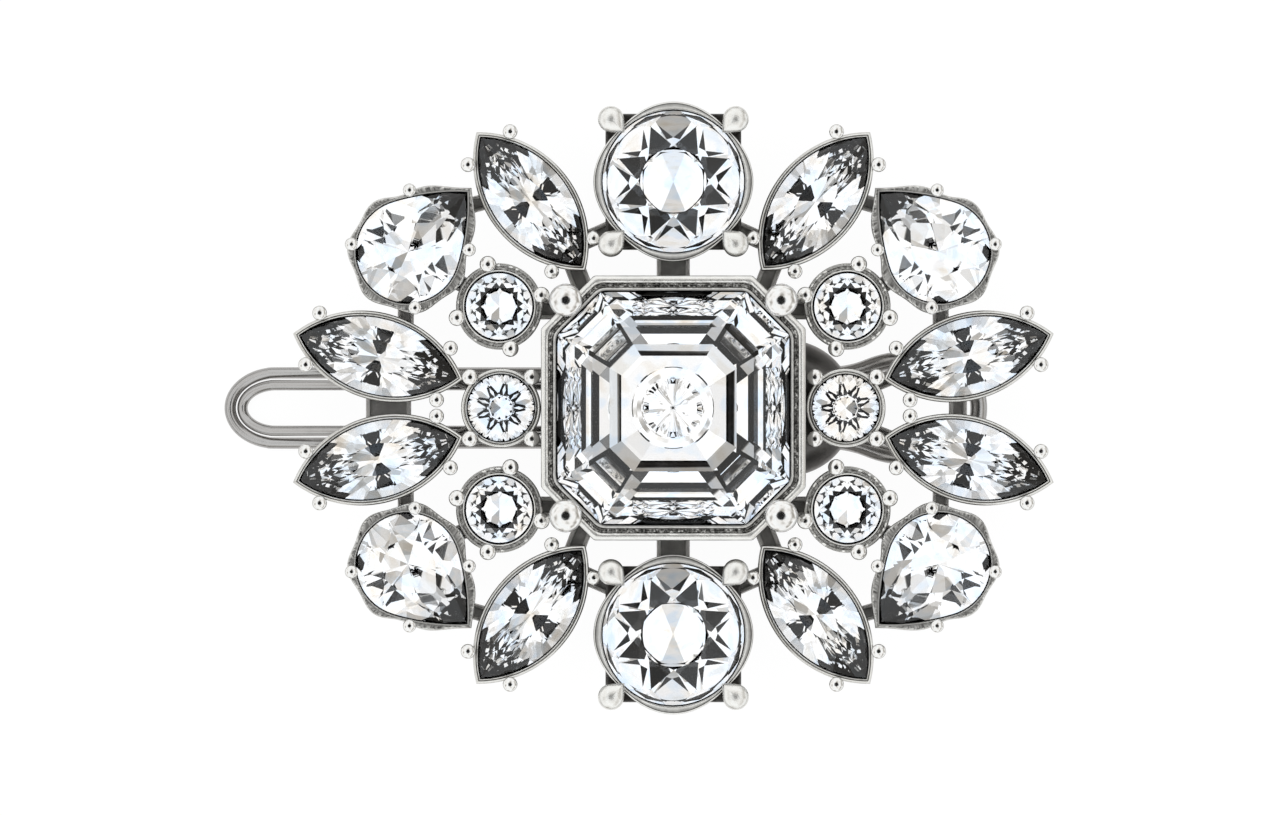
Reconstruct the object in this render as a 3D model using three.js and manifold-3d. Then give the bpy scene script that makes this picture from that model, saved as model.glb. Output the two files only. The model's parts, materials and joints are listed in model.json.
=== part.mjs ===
// A rhinestone hair clip: twenty-one cut stones in pronged cups on a cast openwork frame, with a sprung
// two-loop wire clip on the frame's back. It lies on its back, face up. Millimetres, +Z up, +X towards the
// thumb loop. Positions are first given from the middle of the centre stone.
import * as THREE from "three";
import { ConvexGeometry } from "three/addons/geometries/ConvexGeometry.js";
import { mergeVertices } from "three/addons/utils/BufferGeometryUtils.js";
import Module from "manifold-3d";

const wasm = await Module();
wasm.setup();

// ---------------------------------------------------------------- driving dimensions
const SHANK_SHARE = 0.95; // a prong's shank against its ball
const STONE_GAP = 0.08; // between a stone and the wall round it
const SEAT_GAP = 0.05; // between two parts soldered face to face
const FRAME_BACK = 7.0; // height of the frame's back face above the table
const FRAME_THICK = 1.2;
const SEAT_INSET = 0.5; // how far a frame seat stays inside its cup
const CUP_FLOOR = 0.6;
const GIRDLE = 0.35; // height of a stone's edge
const RIM_LIP = 0.25; // cup rim above the top of the stone's edge
const CULET_CLEAR = 0.3; // between a stone's lowest point and its cup's floor

const CENTRE_STONE = { size: 23, corner: 4.3, wall: 1.57, rim: 10.8, crown: 2.2, table: 0.5 };
const CENTRE_BEAD = { radius: 1.65, inset: 2.45 };
const LARGE_ROUND = { radius: 7.03, wall: 0.45, rim: 8.3, crown: 1.7, table: 0.55 };
const LARGE_BEAD = { radius: 1.35, out: 1.74 };
const CORNER_ROUND = { radius: 3.3, wall: 0.92, rim: 5.4, crown: 1.0, table: 0.5 };
const SIDE_ROUND = { radius: 3.3, wall: 0.57, rim: 5.6, crown: 1.0, table: 0.3 };
const SMALL_BEAD = { radius: 0.8, out: 1.05 };
const MARQUISE = { length: 16.0, width: 7.5, wall: 0.5, rim: 5.8, crown: 1.3, table: 0.5, keel: 2.5 };
const MARQUISE_BEAD = { radius: 0.72, proud: 0.52, turn: 35.9 };
const PEAR = { radius: 5.1, tip: 8.2, turn: 62, wall: 0.55, rim: 6.9, crown: 1.7, table: 0.5, keel: 0.6 };
// A pear's beads: places along its axis, and how far inside the round end's width.
const PEAR_BEAD = { radius: 0.62, front: 4.43, frontIn: 0.9, back: -3.46, backIn: 0.63 };
const BALL = { sides: 6, rings: 4 }; // facets of a prong's ball

const INNER_ANGLE = 51.9; // lean of the inner marquises from +X
const SIDE_ANGLE = 15.05; // lean of the side marquises from +X
const PEAR_ANGLE = 135; // direction of a pear's tip
const BRIDGE = 1.8; // clear gap between the centre bezel and a large round
const SIDE_MARQUISE_RISE = 5.13; // side marquise above the middle line
const CORNER_TUCK = { x: 0.12, y: 3.04 }; // corner round into the bezel's side, and below its corner
const INNER_FROM_BEAD = { x: 7.97, y: 4.24 }; // inner marquise from a large round's lower outer prong
const PEAR_FROM_INNER = { x: 12.23, y: -4.97 };
const PEAR_FROM_CORNER = 9.07; // least distance of a pear from a corner round, along X
const END_FROM_SIDE = 12.23; // side marquise from the side round, along X

// Struts of the upper right quarter: each end is a point off the middle of a setting, then the width.
const CROSS_STRUTS = [
  { from: ["bezel_corner", -5.1, -3.6], to: ["inner_marquise", -3.6, -4.6], width: 2.0 },
  { from: ["bezel_corner", -3.1, -3.3], to: ["corner_round", -2.8, -0.3], width: 2.0 },
  { from: ["large_round", 6.0, -4.6], to: ["inner_marquise", -3.7, -4.6], width: 1.8 },
  { from: ["inner_marquise", 3.3, 0.4], to: ["pear", -4.4, 4.4], width: 1.6 },
  { from: ["corner_round", 2.2, 1.4], to: ["pear", -3.4, -1.6], width: 1.6 },
  { from: ["pear", -0.2, -4.6], to: ["side_marquise", -2.7, 2.4], width: 1.6 },
  { from: ["side_round", 2.4, 2.2], to: ["side_marquise", -6.3, -1.5], width: 1.6 },
];
const SPINE = { width: 3.3, intoBezel: 2, intoRound: 6 }; // strut from the centre to each large round
// Struts between the two side marquises, inside their middles; the left one carries the wires' side.
const END_STRUTS = { inset: 1, left: 4.5, right: 1.8, short: 2 };
const BOSS = { hole: 4.6, proud: 0.3, clear: 0.1 }; // each large round cup's back through the frame

const JAW_WIRE = 1.15; // diameter of the moving jaw's wire
const FIXED_WIRE = 1.05; // diameter of the fixed jaw's wire
const NEST_GAP = 0.12; // between the two nested wires
const JAW_LEG = 3.5; // half the distance between the moving jaw's legs
const NOSE_REACH = 55.58; // from the pivot to the middle of the moving jaw's wire at its nose
const NOSE_LENGTH = 4.6; // half-ellipse at the nose, along X
const LEVEL_REACH = 4; // the moving jaw is level this far to each side of the pivot
const JAW_ARCH = 1.6; // rise of the moving jaw between nose and pivot
const THUMB_REACH = 19.25; // from the pivot to the middle of the thumb band at its end
const THUMB_HALF = 5.1; // half the thumb loop's width, to the middle of its band
const WIRE_STEPS = 60; // sections along each wire loop
// The thumb loop's legs: distance from the pivot, and how far they flare outside the jaw's legs.
const THUMB_FLARE = [
  { along: 3, out: 0 },
  { along: 4.6, out: 0.05 },
  { along: 7.3, out: 0.35 },
  { along: 10.2, out: 1.15 },
];
const THUMB_STRAIGHT = 0.6; // straight stretch before the loop's round end
const THUMB_STEPS = 30;
const THUMB_BAND = { width: 1.7, thick: 0.9 };
const FIXED_SOLDER = 24; // length of fixed wire that lies against the frame
const FIXED_END_GAP = 0.5; // between the fixed wire's ends and the plate

const PLATE = { x: 11.3, radius: 6.8, flat: 4.6, thick: 1.0, drop: 1.0, edge: 0.5, shoulder: 0.35 };
const EAR = { half: 1.35, thick: 0.8, gap: 0.5 };
const COIL_HEADROOM = 0.35; // between the spring's coils and the plate
const PIN_END_GAP = 0.05; // between the ears and the pin's heads
const PIN = { radius: 0.55, head: 1.0, headThick: 0.4, clear: 0.07 };
const YOKE = { length: 5.0, floor: 0.6, wall: 0.8, clear: 0.075, drop: 2.2, round: 1.25 };
const SPRING = { wire: 0.5, coil: 1.15, turns: 5, pitch: 0.6, leg: 4.2 };
const RIVET = { radius: 0.7, head: 1.1, headThick: 0.4, offset: 3.4, clear: 0.05, short: 0.3, roof: 0.2 };

// ---------------------------------------------------------------- colours
const crystal = new THREE.MeshStandardMaterial({
  color: 0xf4f6fa,
  roughness: 0.03,
  metalness: 0.1,
  transparent: true,
  opacity: 0.55,
});
const silver = new THREE.MeshStandardMaterial({ color: 0xc9c7c1, roughness: 0.25, metalness: 1 });
const oxidised = new THREE.MeshStandardMaterial({ color: 0x6d6a66, roughness: 0.5, metalness: 1 });
const springSteel = new THREE.MeshStandardMaterial({ color: 0xd3d2ce, roughness: 0.18, metalness: 1 });

// ---------------------------------------------------------------- solids
const radians = (degrees) => (degrees * Math.PI) / 180;

function solid(geometry) {
  const plain = geometry.index ? geometry.toNonIndexed() : geometry.clone();
  plain.deleteAttribute("normal");
  plain.deleteAttribute("uv");
  const merged = mergeVertices(plain, 1e-4);
  const mesh = new wasm.Mesh({
    numProp: 3,
    vertProperties: merged.attributes.position.array,
    triVerts: new Uint32Array(merged.index.array),
  });
  return new wasm.Manifold(mesh);
}

function geometryOf(manifold) {
  const mesh = manifold.getMesh();
  return new THREE.BufferGeometry()
    .setAttribute("position", new THREE.BufferAttribute(new Float32Array(mesh.vertProperties), 3))
    .setIndex(new THREE.BufferAttribute(new Uint32Array(mesh.triVerts), 1));
}

// A solid with the given outline, from z = low to z = high.
function prism(outline, low, high) {
  const shape = new THREE.Shape(outline);
  const body = new THREE.ExtrudeGeometry(shape, { depth: high - low, bevelEnabled: false });
  return solid(body.translate(0, 0, low));
}

function rod(radius, from, to, sides = 16) {
  const axis = to.clone().sub(from);
  const body = new THREE.CylinderGeometry(radius, radius, axis.length(), sides);
  const turn = new THREE.Quaternion().setFromUnitVectors(new THREE.Vector3(0, 1, 0), axis.normalize());
  const middle = from.clone().add(to).multiplyScalar(0.5);
  return solid(body.applyQuaternion(turn).translate(middle.x, middle.y, middle.z));
}

function box(low, high) {
  const size = high.clone().sub(low);
  const middle = low.clone().add(high).multiplyScalar(0.5);
  return solid(new THREE.BoxGeometry(size.x, size.y, size.z).translate(middle.x, middle.y, middle.z));
}

const vec = (x, y, z) => new THREE.Vector3(x, y, z);

// A bar of the given width between two points of the frame.
function strut([x1, y1], [x2, y2], width) {
  const length = Math.hypot(x2 - x1, y2 - y1);
  const bar = new THREE.BoxGeometry(length, width, FRAME_THICK);
  bar.rotateZ(Math.atan2(y2 - y1, x2 - x1));
  return solid(bar.translate((x1 + x2) / 2, (y1 + y2) / 2, FRAME_BACK + FRAME_THICK / 2));
}

// A section swept along points in space.
function sweep(points, section, steps) {
  const path = new THREE.CatmullRomCurve3(points, false, "centripetal");
  const shape = new THREE.Shape(section);
  return solid(new THREE.ExtrudeGeometry(shape, { steps, extrudePath: path, bevelEnabled: false }));
}

// ---------------------------------------------------------------- outlines
// Each outline function takes how far outside the stone's edge the outline lies.
function arc(cx, cy, radius, from, to, steps) {
  const points = [];
  for (let i = 0; i <= steps; i++) {
    const angle = from + ((to - from) * i) / steps;
    points.push(new THREE.Vector2(cx + radius * Math.cos(angle), cy + radius * Math.sin(angle)));
  }
  return points;
}

const ellipse = (a, b, sides) =>
  arc(0, 0, 1, 0, 2 * Math.PI, sides).slice(0, sides).map((p) => new THREE.Vector2(a * p.x, b * p.y));

const circle = (radius, sides) => ellipse(radius, radius, sides);

function octagonOutline(offset) {
  const half = CENTRE_STONE.size / 2 + offset;
  const side = CENTRE_STONE.size / 2 - CENTRE_STONE.corner + offset * (Math.SQRT2 - 1);
  const corners = [[half, side], [side, half]];
  const points = [];
  for (const [sx, sy] of [[1, 1], [-1, 1], [-1, -1], [1, -1]]) {
    const ordered = sx * sy > 0 ? corners : [...corners].reverse();
    for (const [x, y] of ordered) points.push(new THREE.Vector2(sx * x, sy * y));
  }
  return points;
}

// The radius of each side of a marquise.
const marquiseArc = (MARQUISE.length ** 2 / 4 + MARQUISE.width ** 2 / 4) / MARQUISE.width;

// Two arcs that meet in points at (+-length/2, 0); further out, the points are blunt.
function marquiseOutline(offset) {
  const a = MARQUISE.length / 2 + offset;
  const radius = marquiseArc + offset;
  const drop = marquiseArc - MARQUISE.width / 2;
  const reach = Math.asin(a / radius);
  const upper = arc(0, -drop, radius, Math.PI / 2 - reach, Math.PI / 2 + reach, 8);
  const lower = arc(0, drop, radius, 1.5 * Math.PI - reach, 1.5 * Math.PI + reach, 8);
  const sharp = offset === 0;
  return sharp ? [...upper.slice(0, -1), ...lower.slice(0, -1)] : [...upper, ...lower];
}

// A round end at the origin, and a tip at (PEAR.tip, 0), joined by two shallow arcs.
function pearOutline(offset) {
  const turn = radians(PEAR.turn);
  const extra = (PEAR.tip ** 2 - PEAR.radius ** 2) / (2 * (PEAR.radius - PEAR.tip * Math.cos(turn)));
  const cx = -extra * Math.cos(turn);
  const cy = -extra * Math.sin(turn);
  const radius = PEAR.radius + extra + offset;
  const tipTurn = Math.asin(-cy / radius);
  const side = arc(cx, cy, radius, tipTurn, turn, 4);
  const end = arc(0, 0, PEAR.radius + offset, turn, 2 * Math.PI - turn, 10);
  const back = side.slice(1).reverse().map((p) => new THREE.Vector2(p.x, -p.y));
  return [...side.slice(0, -1), ...end, ...back.slice(1)];
}

const turned = (outline, degrees) =>
  outline.map((p) => p.clone().rotateAround(new THREE.Vector2(), radians(degrees)));

const roundOutline = (family, sides) => (offset) => circle(family.radius + offset, sides);

// ---------------------------------------------------------------- stones and cups
const cupBottom = FRAME_BACK + FRAME_THICK + SEAT_GAP;
const rimHeight = (family) => FRAME_BACK + family.rim;

// A cut stone: a crown up to its table, a thin edge, and a pavilion down to its lowest point or keel.
function stoneGeometry(family, outline, keel) {
  const top = rimHeight(family) - RIM_LIP;
  const bottom = cupBottom + CUP_FLOOR + CULET_CLEAR;
  const edge = outline(0);
  const points = [];
  for (const p of edge) {
    points.push(vec(p.x, p.y, top), vec(p.x, p.y, top - GIRDLE));
    points.push(vec(p.x * family.table, p.y * family.table, top + family.crown));
  }
  for (const [x, y] of keel) points.push(vec(x, y, bottom));
  return new ConvexGeometry(points);
}

// A closed-back cup round the stone, with a ball prong at each bead.
function cupManifold(family, outline, beads) {
  const rim = rimHeight(family);
  let cup = prism(outline(STONE_GAP + family.wall), cupBottom, rim);
  for (const { x, y, radius } of beads) {
    const shank = prism(circle(radius * SHANK_SHARE, BALL.sides).map((p) => p.add({ x, y })), cupBottom, rim);
    const ball = new THREE.SphereGeometry(radius, BALL.sides, BALL.rings).rotateX(Math.PI / 2);
    cup = cup.add(shank).add(solid(ball.translate(x, y, rim)));
  }
  const hollowTop = rim + 3;
  return cup.subtract(prism(outline(STONE_GAP), cupBottom + CUP_FLOOR, hollowTop));
}

const ring = (radius, orbit, start) =>
  [0, 90, 180, 270].map((step) => ({
    x: orbit * Math.cos(radians(start + step)),
    y: orbit * Math.sin(radians(start + step)),
    radius,
  }));

function marquiseBeads() {
  const orbit = marquiseArc + STONE_GAP + MARQUISE.wall + MARQUISE_BEAD.proud;
  const drop = marquiseArc - MARQUISE.width / 2;
  const x = orbit * Math.sin(radians(MARQUISE_BEAD.turn));
  const y = orbit * Math.cos(radians(MARQUISE_BEAD.turn)) - drop;
  return [[1, 1], [-1, 1], [-1, -1], [1, -1]].map(([sx, sy]) => ({
    x: sx * x,
    y: sy * y,
    radius: MARQUISE_BEAD.radius,
  }));
}

function pearBeads() {
  const front = { along: PEAR_BEAD.front, across: PEAR.radius - PEAR_BEAD.frontIn };
  const back = { along: PEAR_BEAD.back, across: PEAR.radius - PEAR_BEAD.backIn };
  return [front, back].flatMap(({ along, across }) =>
    [1, -1].map((side) => ({ x: along, y: side * across, radius: PEAR_BEAD.radius })),
  );
}

const turnedBeads = (beads, degrees) =>
  beads.map(({ x, y, radius }) => {
    const p = new THREE.Vector2(x, y).rotateAround(new THREE.Vector2(), radians(degrees));
    return { x: p.x, y: p.y, radius };
  });

// ---------------------------------------------------------------- where the settings stand
const outer = (family) => family.radius + STONE_GAP + family.wall;
const bezelHalf = CENTRE_STONE.size / 2 + STONE_GAP + CENTRE_STONE.wall;
const largeOut = outer(LARGE_ROUND);

const largeY = bezelHalf + BRIDGE + largeOut;
const sideX = bezelHalf + outer(SIDE_ROUND) + SEAT_GAP;
const largeBead = (LARGE_ROUND.radius + LARGE_BEAD.out) / Math.SQRT2;
const cornerAt = [bezelHalf + outer(CORNER_ROUND) - CORNER_TUCK.x, bezelHalf - CORNER_TUCK.y];
const innerAt = [largeBead + INNER_FROM_BEAD.x, largeY - largeBead + INNER_FROM_BEAD.y];
const pearAt = [
  Math.max(innerAt[0] + PEAR_FROM_INNER.x, cornerAt[0] + PEAR_FROM_CORNER),
  innerAt[1] + PEAR_FROM_INNER.y,
];
const endAt = [sideX + END_FROM_SIDE, SIDE_MARQUISE_RISE];

// One family of settings: where each copy stands, its outline turned to suit, and its names.
const QUARTERS = [
  ["top_left", -1, 1],
  ["top_right", 1, 1],
  ["bottom_left", -1, -1],
  ["bottom_right", 1, -1],
];

const mirroredAngle = (degrees, sx, sy) =>
  THREE.MathUtils.radToDeg(Math.atan2(sy * Math.sin(radians(degrees)), sx * Math.cos(radians(degrees))));

const keelLine = (half, degrees) => turned([-half, half].map((x) => new THREE.Vector2(x, 0)), degrees);

const settings = [];

function addSetting(kind, place, family, at, outline, keel, beads) {
  settings.push({ kind, place, family, at, outline, keel: keel.map((p) => [p.x, p.y]), beads });
}

function addQuarters(kind, family, at, degrees, outline, beads) {
  for (const [place, sx, sy] of QUARTERS) {
    const angle = mirroredAngle(degrees, sx, sy);
    const turnedOutline = (offset) => turned(outline(offset), angle);
    const keel = keelLine(family.keel, angle);
    addSetting(kind, place, family, [sx * at[0], sy * at[1]], turnedOutline, keel, turnedBeads(beads, angle));
  }
}

const point = [new THREE.Vector2(0, 0)];
addSetting(
  "centre",
  "",
  CENTRE_STONE,
  [0, 0],
  octagonOutline,
  point,
  QUARTERS.map(([, sx, sy]) => ({
    x: sx * (bezelHalf - CENTRE_BEAD.inset),
    y: sy * (bezelHalf - CENTRE_BEAD.inset),
    radius: CENTRE_BEAD.radius,
  })),
);
for (const [place, sy] of [["top", 1], ["bottom", -1]]) {
  const beads = ring(LARGE_BEAD.radius, LARGE_ROUND.radius + LARGE_BEAD.out, 45);
  const outline = roundOutline(LARGE_ROUND, 24);
  addSetting("large_round", place, LARGE_ROUND, [0, sy * largeY], outline, point, beads);
}
addQuarters("inner_marquise", MARQUISE, innerAt, INNER_ANGLE, marquiseOutline, marquiseBeads());
addQuarters("side_marquise", MARQUISE, endAt, SIDE_ANGLE, marquiseOutline, marquiseBeads());
addQuarters("pear", PEAR, pearAt, PEAR_ANGLE, pearOutline, pearBeads());
for (const [place, sx, sy] of QUARTERS) {
  const beads = ring(SMALL_BEAD.radius, CORNER_ROUND.radius + SMALL_BEAD.out, sx * sy * 75);
  const at = [sx * cornerAt[0], sy * cornerAt[1]];
  addSetting("corner_round", place, CORNER_ROUND, at, roundOutline(CORNER_ROUND, 16), point, beads);
}
for (const [place, sx] of [["left", -1], ["right", 1]]) {
  const beads = ring(SMALL_BEAD.radius, SIDE_ROUND.radius + SMALL_BEAD.out, 45);
  addSetting("side_round", place, SIDE_ROUND, [sx * sideX, 0], roundOutline(SIDE_ROUND, 16), point, beads);
}

// ---------------------------------------------------------------- frame
const frameTop = FRAME_BACK + FRAME_THICK;

const anchors = {
  bezel_corner: [bezelHalf, bezelHalf],
  large_round: [0, largeY],
  inner_marquise: innerAt,
  pear: pearAt,
  corner_round: cornerAt,
  side_marquise: endAt,
  side_round: [sideX, 0],
};

// The two end points of a cross strut, in the quarter with the given signs.
const strutEnds = ({ from, to }, sx, sy) =>
  [from, to].map(([name, dx, dy]) => [sx * (anchors[name][0] + dx), sy * (anchors[name][1] + dy)]);

function frameStruts() {
  const bars = [];
  for (const [, sx, sy] of QUARTERS)
    for (const bar of CROSS_STRUTS) bars.push(strut(...strutEnds(bar, sx, sy), bar.width));
  const { width, intoBezel, intoRound } = SPINE;
  for (const sy of [1, -1])
    bars.push(strut([0, sy * (bezelHalf - intoBezel)], [0, sy * (largeY - intoRound)], width));
  const { inset, left, right, short } = END_STRUTS;
  const y = SIDE_MARQUISE_RISE - short;
  bars.push(strut([inset - endAt[0], -y], [inset - endAt[0], y], left));
  bars.push(strut([endAt[0] - inset, -y], [endAt[0] - inset, y], right));
  return bars;
}

function frameManifold() {
  const seat = ({ family, at, outline }) =>
    prism(
      outline(STONE_GAP + family.wall - SEAT_INSET).map((p) => p.add({ x: at[0], y: at[1] })),
      FRAME_BACK,
      frameTop,
    );
  let body = [...settings.map(seat), ...frameStruts()].reduce((all, piece) => all.add(piece));
  const bore = (radius, x, y, low, high) => {
    body = body.subtract(prism(circle(radius, 24).map((p) => p.add({ x, y })), low, high));
  };
  for (const sy of [1, -1]) bore(BOSS.hole, 0, sy * largeY, FRAME_BACK - 1, frameTop + 1);
  for (const side of [-1, 1])
    bore(RIVET.radius + RIVET.clear, PLATE.x + side * RIVET.offset, 0, FRAME_BACK - 1, frameTop - RIVET.roof);
  return body;
}

// ---------------------------------------------------------------- clip on the frame's back
const plateTop = FRAME_BACK - SEAT_GAP;
const plateBottom = plateTop - PLATE.thick;
const springOut = SPRING.coil + SPRING.wire / 2;
const pivotX = PLATE.x;
const pivotZ = plateBottom - springOut - COIL_HEADROOM;
const jawZ = pivotZ - YOKE.drop; // middle of the moving jaw's wire under the pivot
const yokeHalf = JAW_LEG - JAW_WIRE / 2 - YOKE.clear;
const earIn = JAW_LEG + JAW_WIRE / 2 + EAR.gap;
const earOut = earIn + EAR.thick;

function pivotPlate() {
  const { radius, flat, thick, drop, edge, shoulder } = PLATE;
  const profile = [
    [0, plateBottom],
    [flat, plateBottom],
    [radius, plateBottom - drop + edge],
    [radius, plateTop - drop],
    [(flat + radius) / 2, plateTop - drop * shoulder],
    [flat, plateTop],
    [0, plateTop],
  ].map(([r, z]) => new THREE.Vector2(r, z));
  const disc = new THREE.LatheGeometry(profile, 28).rotateX(Math.PI / 2);
  let plate = solid(disc.translate(PLATE.x, 0, 0));
  for (const side of [-1, 1]) {
    const [low, high] = side > 0 ? [earIn, earOut] : [-earOut, -earIn];
    const earTop = plateBottom + thick / 2;
    const ear = box(vec(pivotX - EAR.half, low, pivotZ), vec(pivotX + EAR.half, high, earTop));
    plate = plate.add(ear).add(rod(EAR.half, vec(pivotX, low, pivotZ), vec(pivotX, high, pivotZ)));
  }
  const bore = PIN.radius + PIN.clear;
  plate = plate.subtract(rod(bore, vec(pivotX, -earOut - 1, pivotZ), vec(pivotX, earOut + 1, pivotZ)));
  for (const side of [-1, 1]) {
    const x = PLATE.x + side * RIVET.offset;
    plate = plate.subtract(rod(RIVET.radius + RIVET.clear, vec(x, 0, pivotZ), vec(x, 0, FRAME_BACK + 1)));
  }
  return plate;
}

function pivotPin() {
  const end = earOut + PIN_END_GAP;
  const shank = rod(PIN.radius, vec(pivotX, -end, pivotZ), vec(pivotX, end, pivotZ));
  return [-1, 1].reduce((pin, side) => {
    const head = rod(
      PIN.head,
      vec(pivotX, side * end, pivotZ),
      vec(pivotX, side * (end + PIN.headThick), pivotZ),
    );
    return pin.add(head);
  }, shank);
}

function rivet(side) {
  const x = PLATE.x + side * RIVET.offset;
  const under = plateBottom - SEAT_GAP;
  const { radius, head, headThick, short } = RIVET;
  const shank = rod(radius, vec(x, 0, under - headThick / 2), vec(x, 0, frameTop - short), 12);
  return shank.add(rod(head, vec(x, 0, under - headThick), vec(x, 0, under), 12));
}

function jawYoke() {
  const half = YOKE.length / 2;
  const low = jawZ - YOKE.floor / 2;
  const high = jawZ + YOKE.floor / 2;
  let yoke = box(vec(pivotX - half, -yokeHalf, low), vec(pivotX + half, yokeHalf, high));
  const inner = yokeHalf - YOKE.wall;
  const round = YOKE.round;
  for (const side of [-1, 1]) {
    const [near, far] = side > 0 ? [inner, yokeHalf] : [-yokeHalf, -inner];
    yoke = yoke.add(box(vec(pivotX - round, near, low), vec(pivotX + round, far, pivotZ)));
    yoke = yoke.add(rod(round, vec(pivotX, near, pivotZ), vec(pivotX, far, pivotZ)));
  }
  const bore = PIN.radius + PIN.clear;
  return yoke.subtract(rod(bore, vec(pivotX, -yokeHalf - 1, pivotZ), vec(pivotX, yokeHalf + 1, pivotZ)));
}

function torsionSpring() {
  const half = (SPRING.turns * SPRING.pitch) / 2;
  const perTurn = 12;
  const points = [vec(pivotX + SPRING.leg, half, pivotZ + SPRING.coil)];
  for (let i = 0; i <= SPRING.turns * perTurn + perTurn / 2; i++) {
    const turn = (i / perTurn) * 2 * Math.PI;
    const y = half - (i / (SPRING.turns * perTurn + perTurn / 2)) * 2 * half;
    const angle = Math.PI / 2 + turn;
    points.push(vec(pivotX + SPRING.coil * Math.cos(angle), y, pivotZ + SPRING.coil * Math.sin(angle)));
  }
  const rest = jawZ + YOKE.floor / 2 + SPRING.wire / 2 + SEAT_GAP;
  points.push(vec(pivotX + YOKE.length / 2, -half, rest));
  return sweep(points, circle(SPRING.wire / 2, 5), 66);
}

// Points of a wire loop: along one leg, round a half-ellipse and back along the other leg.
function loopPoints(legs, end, endHalf, bend, height, towards) {
  const points = [];
  for (const [x, y] of legs) points.push([x, y]);
  for (let i = 1; i < 10; i++) {
    const angle = Math.PI / 2 - (Math.PI * i) / 10;
    points.push([end - towards * bend + towards * bend * Math.cos(angle), endHalf * Math.sin(angle)]);
  }
  for (const [x, y] of [...legs].reverse()) points.push([x, -y]);
  return points.map(([x, y]) => vec(x, y, height(x)));
}

const noseX = pivotX - NOSE_REACH;
const jawNoseZ = JAW_WIRE / 2;

// The moving jaw rises between its nose and the pivot, as a head curves, and is level at the pivot.
function movingHeight(x) {
  const flatFrom = pivotX - LEVEL_REACH;
  if (x > flatFrom) return jawZ;
  const share = (x - noseX) / (flatFrom - noseX);
  return jawNoseZ + (jawZ - jawNoseZ) * share + JAW_ARCH * 4 * share * (1 - share);
}

function thumbHeight(x) {
  const flatTo = pivotX + LEVEL_REACH;
  const end = pivotX + THUMB_REACH;
  const share = THREE.MathUtils.clamp((x - flatTo) / (end - flatTo), 0, 1);
  return THREE.MathUtils.lerp(jawZ, THUMB_BAND.thick / 2, share ** 1.5);
}

function movingJaw() {
  const from = pivotX + LEVEL_REACH;
  const bendStart = noseX + NOSE_LENGTH;
  const legs = [];
  for (let i = 0; i <= 7; i++) legs.push([THREE.MathUtils.lerp(from, bendStart, i / 7), JAW_LEG]);
  const wire = sweep(
    loopPoints(legs, noseX, JAW_LEG, NOSE_LENGTH, movingHeight, -1),
    circle(JAW_WIRE / 2, 8),
    WIRE_STEPS,
  );
  const end = pivotX + THUMB_REACH;
  const flare = THUMB_FLARE.map(({ along, out }) => [pivotX + along, JAW_LEG + out]);
  flare.push([end - THUMB_HALF - THUMB_STRAIGHT, THUMB_HALF]);
  const section = ellipse(THUMB_BAND.thick / 2, THUMB_BAND.width / 2, 8);
  const thumb = sweep(loopPoints(flare, end, THUMB_HALF, THUMB_HALF, thumbHeight, 1), section, THUMB_STEPS);
  return wire.add(thumb);
}

function fixedJaw() {
  const leg = JAW_LEG - (JAW_WIRE + FIXED_WIRE) / 2 - NEST_GAP;
  const nose = noseX + (JAW_WIRE + FIXED_WIRE) / 2 + NEST_GAP;
  const bend = NOSE_LENGTH - (JAW_LEG - leg);
  const against = FRAME_BACK - SEAT_GAP - FIXED_WIRE / 2;
  const solderEnd = PLATE.x - PLATE.radius - FIXED_END_GAP;
  const solderStart = solderEnd - FIXED_SOLDER;
  const height = (x) => {
    const share = THREE.MathUtils.clamp((x - nose) / (solderStart - nose), 0, 1);
    return THREE.MathUtils.lerp(jawNoseZ, against, Math.sin((share * Math.PI) / 2));
  };
  const legs = [];
  for (let i = 0; i <= 9; i++) legs.push([THREE.MathUtils.lerp(solderEnd, nose + bend, i / 9), leg]);
  return sweep(loopPoints(legs, nose, leg, bend, height, -1), circle(FIXED_WIRE / 2, 8), WIRE_STEPS);
}

// ---------------------------------------------------------------- the assembly
const assembly = new THREE.Group();

function addMesh(name, geometry, material, [x, y] = [0, 0]) {
  const mesh = new THREE.Mesh(geometry, material);
  mesh.name = name;
  mesh.position.set(x, y, 0);
  assembly.add(mesh);
}

function addSettings() {
  for (const { kind, place, family, at, outline, keel, beads } of settings) {
    const suffix = place ? "_" + place : "";
    let cup = cupManifold(family, outline, beads);
    if (kind === "large_round") {
      const boss = circle(BOSS.hole - BOSS.clear, 24);
      cup = cup.add(prism(boss, FRAME_BACK - BOSS.proud, cupBottom + CUP_FLOOR / 2));
    }
    addMesh(kind + "_stone" + suffix, stoneGeometry(family, outline, keel), crystal, at);
    addMesh(kind + "_setting" + suffix, geometryOf(cup), silver, at);
  }
}

addSettings();
addMesh("frame", geometryOf(frameManifold()), oxidised);
addMesh("pivot_plate", geometryOf(pivotPlate()), oxidised);
addMesh("pivot_pin", geometryOf(pivotPin()), springSteel);
addMesh("rivet_left", geometryOf(rivet(-1)), springSteel);
addMesh("rivet_right", geometryOf(rivet(1)), springSteel);
addMesh("torsion_spring", geometryOf(torsionSpring()), springSteel);
addMesh("jaw_yoke", geometryOf(jawYoke()), silver);
addMesh("moving_jaw", geometryOf(movingJaw()), springSteel);
addMesh("fixed_jaw", geometryOf(fixedJaw()), springSteel);

// The origin is the middle of the clip's footprint, on the table.
const bounds = new THREE.Box3().setFromObject(assembly);
const middle = bounds.getCenter(new THREE.Vector3());
assembly.position.set(-middle.x, -middle.y, -bounds.min.z);

const clip = new THREE.Group();
clip.add(assembly);
export default clip;
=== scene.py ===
import json
import math
import random
from functools import partial

import bmesh
import bpy
from mathutils import Matrix, Vector


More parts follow.
